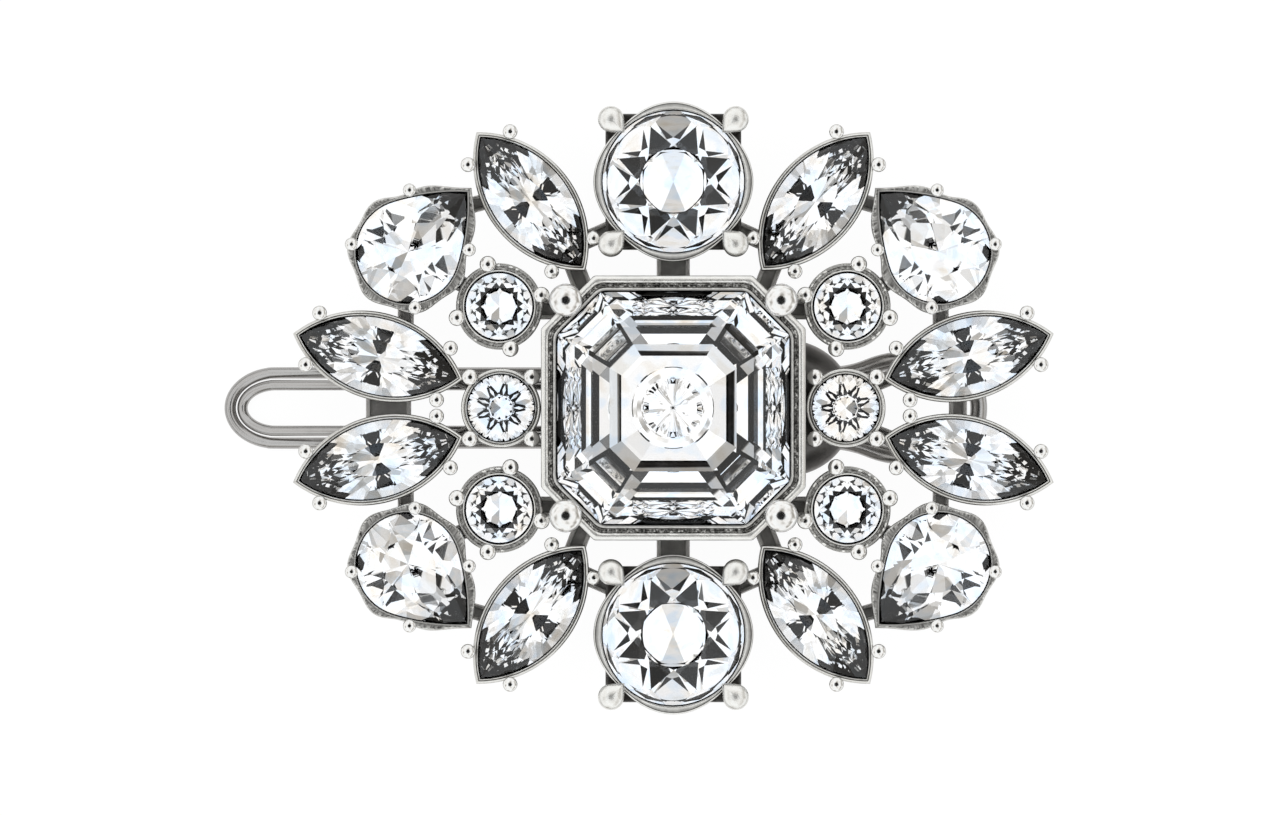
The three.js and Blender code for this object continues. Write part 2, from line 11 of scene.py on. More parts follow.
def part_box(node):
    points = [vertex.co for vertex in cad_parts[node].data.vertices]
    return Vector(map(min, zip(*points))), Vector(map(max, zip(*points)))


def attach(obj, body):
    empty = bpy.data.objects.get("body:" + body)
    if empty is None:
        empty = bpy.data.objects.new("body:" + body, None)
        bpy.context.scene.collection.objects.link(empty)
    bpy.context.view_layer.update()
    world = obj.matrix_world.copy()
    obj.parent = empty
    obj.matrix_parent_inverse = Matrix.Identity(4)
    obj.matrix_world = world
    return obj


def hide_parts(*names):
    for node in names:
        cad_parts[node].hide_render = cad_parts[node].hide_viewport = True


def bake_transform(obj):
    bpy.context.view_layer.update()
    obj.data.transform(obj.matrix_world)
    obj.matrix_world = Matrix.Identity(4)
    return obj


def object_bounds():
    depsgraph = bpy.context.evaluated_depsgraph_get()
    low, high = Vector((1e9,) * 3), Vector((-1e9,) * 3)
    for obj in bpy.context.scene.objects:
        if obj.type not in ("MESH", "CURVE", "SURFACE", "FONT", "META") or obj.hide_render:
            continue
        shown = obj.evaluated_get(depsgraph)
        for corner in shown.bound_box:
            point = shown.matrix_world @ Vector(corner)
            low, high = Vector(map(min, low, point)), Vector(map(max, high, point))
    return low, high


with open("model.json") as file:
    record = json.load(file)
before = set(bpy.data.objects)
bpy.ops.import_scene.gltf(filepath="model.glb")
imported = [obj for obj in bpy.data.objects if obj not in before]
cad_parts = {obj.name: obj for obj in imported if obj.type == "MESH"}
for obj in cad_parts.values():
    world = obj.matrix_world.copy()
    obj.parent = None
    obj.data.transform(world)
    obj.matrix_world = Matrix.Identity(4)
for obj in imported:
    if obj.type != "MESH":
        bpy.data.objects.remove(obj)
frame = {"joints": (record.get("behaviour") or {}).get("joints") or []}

MM = 0.001
cad_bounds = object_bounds()
rng = random.Random(7)

# ---------------- driving sizes
GIRDLE = 0.35  # height of a stone's edge
RIM_LIP = 0.25  # cup rim above the top of the stone's edge
STONE_GAP = 0.1  # between a stone's edge and the wall round it
CUP_FLOOR = 0.6  # thickness of a cup's floor
SCALLOP_FROM = 0.29  # how far off the stone a scalloped cup leaves the stone's outline
ROSETTE_LIFT = 0.02  # between the centre stone's flat back and the rosette on it
OCTAGON = {"size": 23.0, "corner": 4.3, "cup": 1.65}
BEZEL_HALF = OCTAGON["size"] / 2 + OCTAGON["cup"]
LARGE_RADIUS = 7.03
SMALL_RADIUS = 3.3
MARQUISE = {"length": 16.0, "width": 7.5}
PEAR = {"radius": 5.1, "tip": 8.2, "turn": 62}

BEAD = {"centre": 1.65, "small_round": 0.82, "marquise": 0.74, "pear": 0.66}  # radii
CENTRE_BEAD_IN = 2.45  # from the outside of the centre cup to its beads
SMALL_BEAD_OUT = 1.05  # from a small round's edge to its beads
MARQUISE_BEADS = {"out": 1.1, "turn": 35.9}  # past a side arc, and round its centre
PEAR_BEADS = [(4.43, -0.9), (-3.46, -0.63)]  # along the stone, and past its round end's radius
SHIELD = {"radius": 1.3, "out": 1.74}  # the claws that hold a large round, past its edge
SQUARE_BASE = {"half": 6.75, "corner": 1.6}
BOSS = {"radius": 4.5, "height": 2.0}

JAW_WIRE = 1.15
FIXED_WIRE = 1.05
NEST_GAP = 0.12  # between the wires of the two jaws
JAW_LEG = 3.5  # from the middle line to the moving jaw's leg
LEG_END = 3.0  # the rest of the reaches are measured from the pivot, too
NOSE_REACH = 55.58
NOSE_LENGTH = 4.6
JAW_ARCH = 1.6
LEVEL_REACH = 4.0  # the moving jaw's wire is level this far each way
THUMB_REACH = 19.25
THUMB_HALF = 5.1
THUMB_FLARE = [(4.6, 0.05), (7.3, 0.35), (10.2, 1.15)]  # past the pivot, and outside the leg
THUMB_BAND = {"width": 1.7, "thick": 0.9, "start": 5.0, "blend": 4.0}
YOKE_DROP = 2.2
FIXED_SOLDER = 24.0  # length of the fixed jaw that lies against the frame
SOLDER_GAP = 0.05

VIEW_WIDTH = 127.5  # what the camera takes in, across the picture
CAMERA_HEIGHT = 2500.0
SENSOR_WIDTH = 36.0
FLOOR = {"half": 700.0, "gap": 0.02}

CORNERS = [(1, 1), (-1, 1), (-1, -1), (1, -1)]
QUARTERS = {(-1, 1): "top_left", (1, 1): "top_right", (-1, -1): "bottom_left", (1, -1): "bottom_right"}


def clamp(value):
    return min(max(value, 0.0), 1.0)


# ---------------- outlines, as lists of points
def arc(cx, cy, radius, start, end, steps):
    points = []
    for i in range(steps + 1):
        angle = start + (end - start) * i / steps
        points.append(Vector((cx + radius * math.cos(angle), cy + radius * math.sin(angle))))
    return points


def round_outline(radius):
    return lambda offset: arc(0, 0, radius + offset, 0, 2 * math.pi, 120)[:-1]


def marquise_side():
    """Radius of a marquise's two arcs, and how far their centres are off its long axis."""
    half, width = MARQUISE["length"] / 2, MARQUISE["width"]
    side = (half ** 2 + width ** 2 / 4) / width
    return side, side - width / 2


def marquise_outline(offset):
    """Two arcs that meet in points, the first of them at +X."""
    side, drop = marquise_side()
    radius = side + offset
    reach = math.acos(drop / radius)
    quarter = math.pi / 2
    upper = arc(0, -drop, radius, quarter - reach, quarter + reach, 60)
    lower = arc(0, drop, radius, 3 * quarter - reach, 3 * quarter + reach, 60)
    return upper[:-1] + lower[:-1]


def pear_outline(offset):
    """A round end about the origin, and a tip at +X, joined by two shallow arcs."""
    turn = math.radians(PEAR["turn"])
    tip, end = PEAR["tip"], PEAR["radius"]
    extra = (tip ** 2 - end ** 2) / (2 * (end - tip * math.cos(turn)))
    cx, cy = -extra * math.cos(turn), -extra * math.sin(turn)
    radius = end + extra + offset
    upper = arc(cx, cy, radius, math.asin(-cy / radius), turn, 40)
    back = arc(0, 0, end + offset, turn, 2 * math.pi - turn, 80)
    lower = [Vector((p.x, -p.y)) for p in reversed(upper)]
    return upper[:-1] + back + lower[1:-1]


def octagon_outline(offset):
    half = OCTAGON["size"] / 2 + offset
    side = OCTAGON["size"] / 2 - OCTAGON["corner"] + offset * (math.sqrt(2) - 1)
    points = []
    for sx, sy in CORNERS:
        pair = [Vector((sx * half, sy * side)), Vector((sx * side, sy * half))]
        points += pair if sx * sy > 0 else pair[::-1]
    return points


def rounded(points, radius, steps=6):
    """The same polygon with each corner turned into an arc."""
    result = []
    for i, corner in enumerate(points):
        before = (points[i - 1] - corner).normalized()
        after = (points[(i + 1) % len(points)] - corner).normalized()
        half = before.angle(after) / 2
        centre = corner + (before + after).normalized() * radius / math.sin(half)
        first = corner + before * radius / math.tan(half) - centre
        last = corner + after * radius / math.tan(half) - centre
        for k in range(steps + 1):
            share = k / steps
            result.append(centre + (first.lerp(last, share)).normalized() * radius)
    return result


def resample(points, count):
    """Points at equal steps along the closed outline, from its first point."""
    ends = points[1:] + points[:1]
    lengths = [(b - a).length for a, b in zip(points, ends)]
    step = sum(lengths) / count
    result, walked, i = [], 0.0, 0
    for k in range(count):
        while walked + lengths[i] < k * step - 1e-9:
            walked += lengths[i]
            i += 1
        result.append(points[i].lerp(ends[i], (k * step - walked) / lengths[i]))
    return result


def reach_of(outline, degrees):
    """How far the outline reaches in a direction."""
    direction = Vector((math.cos(math.radians(degrees)), math.sin(math.radians(degrees))))
    return max(p.dot(direction) for p in outline)


# ---------------- meshes
class Shell:
    """A mesh under construction, with a darkness value (0 bright to 1 black) at each vertex: oxide in
    grooves, and painted shade in gaps, floors and undersides.
    """

    def __init__(self):
        self.bm = bmesh.new()
        self.material = 0
        self.oxide_and_shade = self.bm.verts.layers.float.new("oxide_and_shade")

    def ring(self, points, oxide_and_shade=0.0):
        verts = []
        for p in points:
            vert = self.bm.verts.new(p)
            vert[self.oxide_and_shade] = oxide_and_shade
            verts.append(vert)
        return verts

    def face(self, *verts):
        self.bm.faces.new(verts).material_index = self.material

    def bridge(self, rings):
        for low, high in zip(rings, rings[1:]):
            for i in range(len(low)):
                j = (i + 1) % len(low)
                self.face(low[i], low[j], high[j], high[i])

    def fan(self, ring, point, oxide_and_shade=0.0):
        """Close a ring with triangles that meet in a point."""
        (tip,) = self.ring([point], oxide_and_shade)
        for a, b in zip(ring, ring[1:] + ring[:1]):
            self.face(a, b, tip)

    def cap(self, ring, oxide_and_shade=0.0):
        self.fan(ring, sum((v.co for v in ring), Vector()) / len(ring), oxide_and_shade)

    def solid(self, rings, oxide_and_shade=(0.0, 0.0)):
        """A closed body through a stack of rings, closed at both ends."""
        self.bridge(rings)
        self.cap(rings[0], oxide_and_shade[0])
        self.cap(rings[-1], oxide_and_shade[1])

    def loop(self, rings):
        """A closed band: the last ring joins the first."""
        self.bridge(rings + rings[:1])


def lift(points, z):
    return [Vector((p.x, p.y, z)) for p in points]


def lathe(shell, profile, at, segments, oxide_and_shade, along="Z"):
    """Turn (radius, height) points round an axis through at; the profile starts and ends on it."""
    turn = Matrix.Rotation(-math.pi / 2, 3, "X") if along == "Y" else Matrix.Identity(3)
    rings = []
    for radius, height in profile[1:-1]:
        circle = lift(arc(0, 0, radius, 0, 2 * math.pi, segments)[:-1], height)
        rings.append(shell.ring([turn @ p + at for p in circle], oxide_and_shade))
    shell.bridge(rings)
    for ring, (_, height) in ((rings[0], profile[0]), (rings[-1], profile[-1])):
        shell.fan(ring, turn @ Vector((0, 0, height)) + at, oxide_and_shade)


def piece(name, bm, materials, nodes, body="clip", matrix=None, smooth=None, twist=None):
    """Finish a mesh as an object that rides on a body.

    With twist, a pair of points, the piece stays where it was built, with its place baked in, and rides
    on no body.
    """
    if matrix is not None:
        bm.transform(matrix)
    if smooth is not None:
        bmesh.ops.recalc_face_normals(bm, faces=bm.faces[:])
        for face in bm.faces:
            face.smooth = True
    mesh = bpy.data.meshes.new(name)
    bm.to_mesh(mesh)
    bm.free()
    mesh.transform(Matrix.Scale(MM, 4))
    if smooth is not None:
        mesh.set_sharp_from_angle(angle=math.radians(smooth))
    for material in materials:
        mesh.materials.append(material)
    obj = bpy.data.objects.new(name, mesh)
    bpy.context.scene.collection.objects.link(obj)
    if twist is None:
        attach(obj, body)
    else:
        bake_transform(obj)
    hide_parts(*nodes)


# ---------------- materials
def new_material(name):
    material = bpy.data.materials.new(name)
    material.use_nodes = True
    tree = material.node_tree
    return material, tree, tree.nodes["Principled BSDF"]


def add_node(tree, kind, **values):
    node = tree.nodes.new(kind)
    for key, value in values.items():
        if key in node.inputs:
            node.inputs[key].default_value = value
        else:
            setattr(node, key, value)
    return node


def ramp(tree, source, stops):
    node = tree.nodes.new("ShaderNodeValToRGB")
    while len(node.color_ramp.elements) < len(stops):
        node.color_ramp.elements.new(0.5)
    for element, (position, colour) in zip(node.color_ramp.elements, stops):
        element.position = position
        element.color = (*colour, 1.0)
    tree.links.new(source, node.inputs["Fac"])
    return node.outputs["Color"]


def grey(value):
    return (value, value, value)


def noise(tree, scale, detail):
    coords = tree.nodes.new("ShaderNodeTexCoord")
    node = add_node(tree, "ShaderNodeTexNoise", Scale=scale, Detail=detail)
    tree.links.new(coords.outputs["Object"], node.inputs["Vector"])
    return node.outputs["Fac"]


def math_node(tree, operation, a, b, clamp=False):
    node = tree.nodes.new("ShaderNodeMath")
    node.operation = operation
    node.use_clamp = clamp
    for socket, value in zip(node.inputs, (a, b)):
        if isinstance(value, (int, float)):
            socket.default_value = value
        else:
            tree.links.new(value, socket)
    return node.outputs[0]


def metal(name, bright, dark, roughness, grain, stain=0.25, metallic=1.0):
    """Cast or drawn metal that darkens where its vertex darkness is high (oxide in grooves, and painted
    shade in gaps, floors and feet), with random stains and a fine grain.
    """
    material, tree, shader = new_material(name)
    shader.inputs["Metallic"].default_value = metallic
    # The vertex value paints shade into gaps, floors and feet, as well as oxide into grooves.
    oxide_and_shade = add_node(tree, "ShaderNodeAttribute", attribute_name="oxide_and_shade").outputs["Fac"]
    clouds = noise(tree, 900.0, 4.0)
    cloud_shift = math_node(tree, "MULTIPLY", math_node(tree, "SUBTRACT", clouds, 0.5), stain)
    stain_oxide_and_shade = math_node(tree, "ADD", oxide_and_shade, cloud_shift, clamp=True)
    colour = ramp(tree, stain_oxide_and_shade, [(0.0, bright), (0.35, tuple(0.55 * c for c in bright)), (1.0, dark)])
    tree.links.new(colour, shader.inputs["Base Color"])
    rough = math_node(tree, "ADD", math_node(tree, "MULTIPLY", stain_oxide_and_shade, 0.35), roughness, clamp=True)
    tree.links.new(rough, shader.inputs["Roughness"])
    bump = add_node(tree, "ShaderNodeBump", Strength=grain, Distance=0.00003)
    tree.links.new(noise(tree, 5200.0, 5.0), bump.inputs["Height"])
    tree.links.new(bump.outputs["Normal"], shader.inputs["Normal"])
    return material


def glass_material():
    material, tree, shader = new_material("crystal_glass")
    shader.inputs["Transmission Weight"].default_value = 1.0
    shader.inputs["Roughness"].default_value = 0.0
    shader.inputs["IOR"].default_value = 1.56
    tint = ramp(tree, noise(tree, 160.0, 1.0), [(0.35, (0.985, 0.99, 1.0)), (0.65, (1.0, 0.998, 0.99))])
    tree.links.new(tint, shader.inputs["Base Color"])
    return material


def foil_material():
    """The mirror coat on the back of a stone, with faint cool and warm patches."""
    material, tree, shader = new_material("crystal_foil")
    shader.inputs["Metallic"].default_value = 1.0
    shader.inputs["Roughness"].default_value = 0.0
    stops = [
        (0.36, (0.84, 0.9, 0.97)),
        (0.46, (0.95, 0.95, 0.96)),
        (0.58, (0.95, 0.95, 0.95)),
        (0.68, (0.9, 0.87, 0.83)),
    ]
    tint = ramp(tree, noise(tree, 420.0, 1.0), stops)
    tree.links.new(tint, shader.inputs["Base Color"])
    return material


GLASS = glass_material()
FOIL = foil_material()
SILVER = metal("antique_silver", (0.74, 0.73, 0.7), (0.035, 0.032, 0.03), 0.27, 0.35)
BEAD_SILVER = metal("polished_silver", (0.72, 0.71, 0.69), (0.03, 0.03, 0.03), 0.1, 0.12, 0.25)
OXIDISED = metal("oxidised_casting", (0.8, 0.78, 0.75), (0.2, 0.19, 0.18), 0.55, 0.9, 0.6, 0.6)
WIRE = metal("drawn_wire", (0.4, 0.39, 0.38), (0.06, 0.06, 0.06), 0.2, 0.12, 0.2)
SATIN = metal("satin_plate", (0.3, 0.29, 0.28), (0.05, 0.05, 0.05), 0.4, 0.5, 0.3)


# ---------------- cut stones
# A stone is cut out of a block by planes, as a lapidary does. A facet faces a direction round the
# stone and touches the outline, drawn at two sizes, at two heights.
BLOCK_SIZE = 60
WELD_DISTANCE = 2e-3
FLAT_ANGLE = math.radians(0.15)
FOIL_BELOW = -0.05  # a facet is foiled if its normal points down by more than this


def slice_off(bm, normal, distance):
    """Cut away what lies past a plane, and close the cut."""
    cut = bmesh.ops.bisect_plane(
        bm,
        geom=bm.verts[:] + bm.edges[:] + bm.faces[:],
        dist=1e-5,
        plane_co=normal * distance,
        plane_no=normal,
        clear_outer=True,
    )
    edges = [e for e in cut["geom_cut"] if isinstance(e, bmesh.types.BMEdge)]
    if edges:
        bmesh.ops.edgenet_fill(bm, edges=edges)


def facet(bm, edge, degrees, first, last):
    """first and last are (share of the outline, height), the outer one first."""
    reach = reach_of(edge, degrees)
    (s1, z1), (s2, z2) = first, last
    rise = abs(z2 - z1)
    run = reach * (s1 - s2) * (1 if z2 > z1 else -1)
    angle = math.radians(degrees)
    normal = Vector((rise * math.cos(angle), rise * math.sin(angle), run)).normalized()
    touch = Vector((math.cos(angle) * reach * s1, math.sin(angle) * reach * s1, z1))
    slice_off(bm, normal, normal.dot(touch))


def block(edge):
    """A tall prism with the stone's outline."""
    bm = bmesh.new()
    bmesh.ops.create_cube(bm, size=BLOCK_SIZE)
    for a, b in zip(edge, edge[1:] + edge[:1]):
        side = (b - a).normalized()
        normal = Vector((side.y, -side.x, 0))
        slice_off(bm, normal, normal.dot(Vector((a.x, a.y, 0))))
    return bm


def brilliant(edge, mains, cut):
    """Table, kites, stars and breaks above; mains and lower breaks below, down to a point."""
    bm = block(edge)
    table, kite, low = cut["table"], cut["kite"], cut["low"]
    half_width = min(reach_of(edge, 90), reach_of(edge, 0))
    crown = half_width * (1 - table) * math.tan(math.radians(cut["crown"]))
    depth = half_width * math.tan(math.radians(cut["pavilion"]))
    slice_off(bm, Vector((0, 0, 1)), crown)
    following = mains[1:] + [mains[0] + 360]
    for a, b in zip(mains, following):
        half, quarter = math.radians((b - a) / 2), math.radians((b - a) / 4)
        kite_z = crown * (1 - kite * math.cos(half)) / (1 - table)
        facet(bm, edge, a, (1, 0), (table, crown))
        facet(bm, edge, (a + b) / 2, (kite, kite_z), (table * math.cos(half), crown))
        facet(bm, edge, a, (1, -GIRDLE), (0, -GIRDLE - depth))
        low_z = -GIRDLE - depth * (1 - low * math.cos(half))
        for degrees in (a + (b - a) / 4, b - (b - a) / 4):
            facet(bm, edge, degrees, (1, 0), (kite * math.cos(quarter), kite_z))
            facet(bm, edge, degrees, (1, -GIRDLE), (low * math.cos(quarter), low_z))
    return bm


def step_cut(edge, crown_steps, pavilion_steps):
    """Parallel steps up to the table and down to a small flat at the back."""
    bm = block(edge)
    slice_off(bm, Vector((0, 0, 1)), crown_steps[-1][1])
    slice_off(bm, Vector((0, 0, -1)), -pavilion_steps[-1][1])
    for degrees in range(0, 360, 45):
        for steps in (crown_steps, pavilion_steps):
            for first, last in zip(steps, steps[1:]):
                facet(bm, edge, degrees, first, last)
    return bm


def around(count, start=0.0):
    """Directions at equal angles."""
    return [start + 360 * i / count for i in range(count)]


def mirrored(degrees):
    """Directions on one side of +X, joined by their mirror images on the other side."""
    return degrees + [360 - a for a in reversed(degrees) if a < 180]


CENTRE_CROWN = [(1, 0), (0.852, 1.62), (0.696, 2.94), (0.548, 3.9)]
CENTRE_PAVILION = [(1, -GIRDLE), (0.782, -4.66), (0.608, -6.68), (0.453, -7.84), (0.3, -8.41)]
LARGE_CUT = {"table": 0.496, "kite": 0.836, "low": 0.743, "crown": 45.3, "pavilion": 37.7}
SMALL_CUT = {"table": 0.593, "kite": 0.825, "low": 0.407, "crown": 45.5, "pavilion": 38.1}
SUNBURST_CUT = {"table": 0.35, "kite": 0.7, "low": 0.5, "crown": 42, "pavilion": 39}
MARQUISE_CUT = {"table": 0.426, "kite": 0.728, "low": 0.439, "crown": 36.5, "pavilion": 41.7}
PEAR_CUT = {"table": 0.522, "kite": 0.753, "low": 0.771, "crown": 35.3, "pavilion": 39.8}
MARQUISE_MAINS = mirrored([26.4, 62.3, 90, 180 - 62.3, 180 - 26.4])
PEAR_MAINS = mirrored([26, 67.9, 102.2, 137.9, 180])


def closed_stone(cut):
    """The convex body of a cut block's corners, with flat facets, foiled where they look down."""
    bm = bmesh.new()
    for vert in cut.verts:
        bm.verts.new(vert.co)
    cut.free()
    bmesh.ops.remove_doubles(bm, verts=bm.verts[:], dist=WELD_DISTANCE)
    bmesh.ops.convex_hull(bm, input=bm.verts[:])
    loose = [v for v in bm.verts if not v.link_faces]
    bmesh.ops.delete(bm, geom=loose, context="VERTS")
    bmesh.ops.dissolve_limit(bm, angle_limit=FLAT_ANGLE, verts=bm.verts[:], edges=bm.edges[:])
    bmesh.ops.recalc_face_normals(bm, faces=bm.faces[:])
    for face in bm.faces:
        face.material_index = 1 if face.normal.z < FOIL_BELOW else 0
    return bm


def stone(name, cut, matrix):
    bm = closed_stone(cut)
    bm.transform(matrix)
    if matrix.determinant() < 0:
        bmesh.ops.reverse_faces(bm, faces=bm.faces[:])
    piece(name.replace("stone", "crystal"), bm, [GLASS, FOIL], [name])


# ---------------- settings
def grain_ring(points, z, amount):
    return [Vector((p.x, p.y, z + rng.uniform(-amount, amount))) for p in points]


def speckle(shell, ring, oxide_and_shade, amount):
    """Uneven blackening along one ring."""
    for vert in ring:
        vert[shell.oxide_and_shade] = clamp(oxide_and_shade + rng.uniform(-amount, amount))


def bezel(shell, outline, profile, rim, floor, bottom, count):
    """A cup: the profile runs over the rim from inside to outside as (offset, height, oxide and painted
    shade, grain); the wall into the gap, the floor and the foot are darkened as painted shade.
    """
    # The floor inside the cup is painted black, as shade under the stone.
    rings = [shell.ring(lift(resample(outline(profile[0][0]), count), floor), 1.0)]
    for offset, height, oxide_and_shade, grain in profile:
        points = resample(outline(offset), count)
        ring = shell.ring(grain_ring(points, rim + height, grain), oxide_and_shade)
        speckle(shell, ring, oxide_and_shade, min(6 * grain, 0.55))
        rings.append(ring)
    outside = profile[-1][0]
    # The foot is painted darker than the rim, as shade below it.
    rings.append(shell.ring(lift(resample(outline(outside), count), bottom + 0.3), 0.7))
    rings.append(shell.ring(lift(resample(outline(outside - 0.2), count), bottom), 0.5))
    shell.solid(rings, (1.0, 0.5))


def thin_profile(wall):
    """A fine polished line and a wider one, with a dark groove between them."""
    out = STONE_GAP + wall
    return [
        # The wall down into the gap round the stone is painted black, as shade in the gap.
        (STONE_GAP, -0.5, 1.0, 0),
        (STONE_GAP, -0.16, 0.9, 0),
        (STONE_GAP + 0.04, -0.07, 0.1, 0),
        (STONE_GAP + 0.09, -0.03, 0.0, 0),
        (STONE_GAP + 0.14, -0.06, 0.05, 0),
        (STONE_GAP + 0.18, -0.17, 0.85, 0.01),
        (STONE_GAP + 0.22, -0.1, 0.3, 0),
        (STONE_GAP + 0.3, -0.03, 0.0, 0),
        (STONE_GAP + 0.37, 0.0, 0.0, 0),
        (out - 0.1, -0.02, 0.0, 0),
        (out - 0.04, -0.08, 0.1, 0),
        # The outside darkens towards the foot: painted shade below the rim.
        (out, -0.2, 0.3, 0),
        (out, -1.2, 0.6, 0),
    ]


def banded_profile(wall):
    """A polished edge on each side of a grainy, blackened band."""
    grain, out = 0.05, STONE_GAP + wall
    start, end = STONE_GAP + 0.28, out - 0.34
    band = []
    for i in range(5):
        height = -0.1 if i in (0, 4) else -0.06
        band.append((start + (end - start) * i / 4, height, 0.6, grain))
    return [
        # The wall down into the gap round the stone is painted black, as shade in the gap.
        (STONE_GAP + 0.05, -0.5, 1.0, 0),
        (STONE_GAP + 0.05, -0.12, 1.0, 0),
        (STONE_GAP + 0.12, -0.02, 0.15, 0),
        (STONE_GAP + 0.2, 0.0, 0.0, 0),
        *band,
        (out - 0.25, 0.0, 0.0, 0.01),
        (out - 0.1, 0.0, 0.0, 0),
        (out - 0.02, -0.07, 0.1, 0),
        # The outside darkens towards the foot: painted shade below the rim.
        (out, -0.2, 0.3, 0),
        (out, -1.5, 0.55, 0),
    ]


def ball_prong(shell, at, radius, rim, bottom):
    """A shank with a flattened bead that is proud of the rim."""
    start, flat, proud, steps = -0.9, 0.36, 0.3 * radius, 14
    profile = [(0, bottom), (0.8 * radius, bottom), (0.82 * radius, rim + radius * math.sin(start))]
    for i in range(steps + 1):
        angle = start + (math.pi / 2 - start) * i / steps
        height = radius * math.sin(angle) * (flat if angle > 0 else 1.0)
        profile.append((radius * math.cos(angle), rim + proud + height))
    shell.material = 1
    lathe(shell, profile, Vector((at[0], at[1], 0)), 32, 0.0)
    shell.material = 0


def shield_prong(shell, at, radius, rim, bottom):
    """A domed claw, round outside and pointed towards the stone."""
    inward = math.atan2(-at[1], -at[0])
    point = radius * 1.5
    cover = math.acos(radius / point)
    outline = arc(0, 0, radius, cover, 2 * math.pi - cover, 40) + [Vector((point, 0))]
    outline = rounded(resample(outline, 48), 0.02, 1)
    turn = Matrix.Rotation(inward, 2)
    outline = [turn @ p for p in resample(outline, 64)]

    def level(share, z):
        return [Vector((share * p.x + at[0], share * p.y + at[1], z)) for p in outline]

    rings = [shell.ring(level(0.8, bottom), 0.4)]
    start, end, steps = -0.5, math.pi / 2 - 0.06, 11
    for i in range(steps + 1):
        angle = start + (end - start) * i / steps
        flat = 0.45 if angle > 0 else 0.95
        z = rim + 0.4 + flat * radius * math.sin(angle)
        rings.append(shell.ring(level(math.cos(angle), z)))
    shell.solid(rings)


def orbit(radius, start):
    """Four places a quarter turn apart."""
    angles = [math.radians(start + turn) for turn in (0, 90, 180, 270)]
    return [(radius * math.cos(angle), radius * math.sin(angle)) for angle in angles]


def marquise_beads():
    side, drop = marquise_side()
    reach, turn = side + MARQUISE_BEADS["out"], math.radians(MARQUISE_BEADS["turn"])
    x, y = reach * math.sin(turn), reach * math.cos(turn) - drop
    return [(sx * x, sy * y) for sx in (1, -1) for sy in (1, -1)]


def pear_beads():
    return [(x, sy * (PEAR["radius"] + out)) for x, out in PEAR_BEADS for sy in (1, -1)]


def lobed(outline, depth, count, start=0.0, side=0.0):
    """The outline, with scallops outside the collar: its offset swells and shrinks."""

    def shaped(offset):
        points = outline(offset)
        if offset <= SCALLOP_FROM:
            return points
        result = []
        for i, p in enumerate(points):
            normal = (points[(i + 1) % len(points)] - points[i - 1]).normalized()
            normal = Vector((normal.y, -normal.x))
            angle = math.atan2(p.y, p.x) - start
            swell = depth * 0.5 * (1 + math.cos(count * angle)) + side * math.sin(angle) * 0.5
            result.append(p + normal * swell)
        return result

    return shaped


# ---------------- placing
def centre_of(points):
    xs, ys = [p.x for p in points], [p.y for p in points]
    return Vector(((min(xs) + max(xs)) / 2, (min(ys) + max(ys)) / 2))


def placement(node, edge, sx=1, sy=1, degrees=0.0):
    """The matrix, in millimetres, from a setting's own place to its place in the clip."""
    turn = Matrix.Diagonal((sx, sy, 1, 1)) @ Matrix.Rotation(math.radians(degrees), 4, "Z")
    turned = [turn @ Vector((p.x, p.y, 0)) for p in edge]
    low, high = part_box(node)
    middle = (low + high) / (2 * MM)
    own = centre_of(turned)
    return Matrix.Translation((middle.x - own.x, middle.y - own.y, 0)) @ turn


CROWN_HEIGHT = {
    "centre": 2.2,
    "large_round": 1.7,
    "corner_round": 1.0,
    "side_round": 1.0,
    "inner_marquise": 1.3,
    "side_marquise": 1.3,
    "pear": 1.7,
}


def edge_height(kind, node):
    """Top of the stone's edge, in millimetres."""
    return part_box(node)[1].z / MM - CROWN_HEIGHT[kind]


def slight_tilt():
    """No two stones sit quite level."""
    about_x = math.radians(rng.uniform(-0.8, 0.8))
    about_y = math.radians(rng.uniform(-0.8, 0.8))
    return Matrix.Rotation(about_x, 4, "X") @ Matrix.Rotation(about_y, 4, "Y")


def centre_outline(offset):
    """The octagon, with softer corners near the stone than outside."""
    return rounded(octagon_outline(offset), 0.5 if offset > 1 else 1.6)


def centre_cup(shell, rim, bottom):
    """A polished wall round a sunk, grainy band."""
    out = OCTAGON["cup"]
    profile = [
        # The wall down into the gap round the stone is painted black, as shade in the gap.
        (0.12, -0.6, 1.0, 0),
        (0.14, -0.12, 1.0, 0),
        (0.2, 0.0, 0.5, 0),
        (0.3, 0.02, 0.1, 0.0),
        (0.42, -0.02, 0.3, 0.02),
        (0.5, -0.14, 0.9, 0.04),
        (0.59, -0.05, 0.5, 0.11),
        (0.68, -0.12, 0.8, 0.11),
        (0.77, -0.02, 0.4, 0.11),
        (0.86, -0.12, 0.8, 0.1),
        (0.92, -0.1, 0.6, 0.03),
        (0.98, -0.02, 0.05, 0),
        (1.15, 0.02, 0.0, 0),
        (out - 0.2, -0.02, 0.0, 0),
        (out - 0.06, -0.1, 0.1, 0),
        # The outside darkens towards the foot: painted shade below the rim.
        (out, -0.25, 0.3, 0),
        (out, -2.0, 0.55, 0),
    ]
    bezel(shell, centre_outline, profile, rim, bottom + CUP_FLOOR, bottom, 760)
    half = BEZEL_HALF - CENTRE_BEAD_IN
    for sx, sy in CORNERS:
        ball_prong(shell, (sx * half, sy * half), BEAD["centre"], rim, bottom)


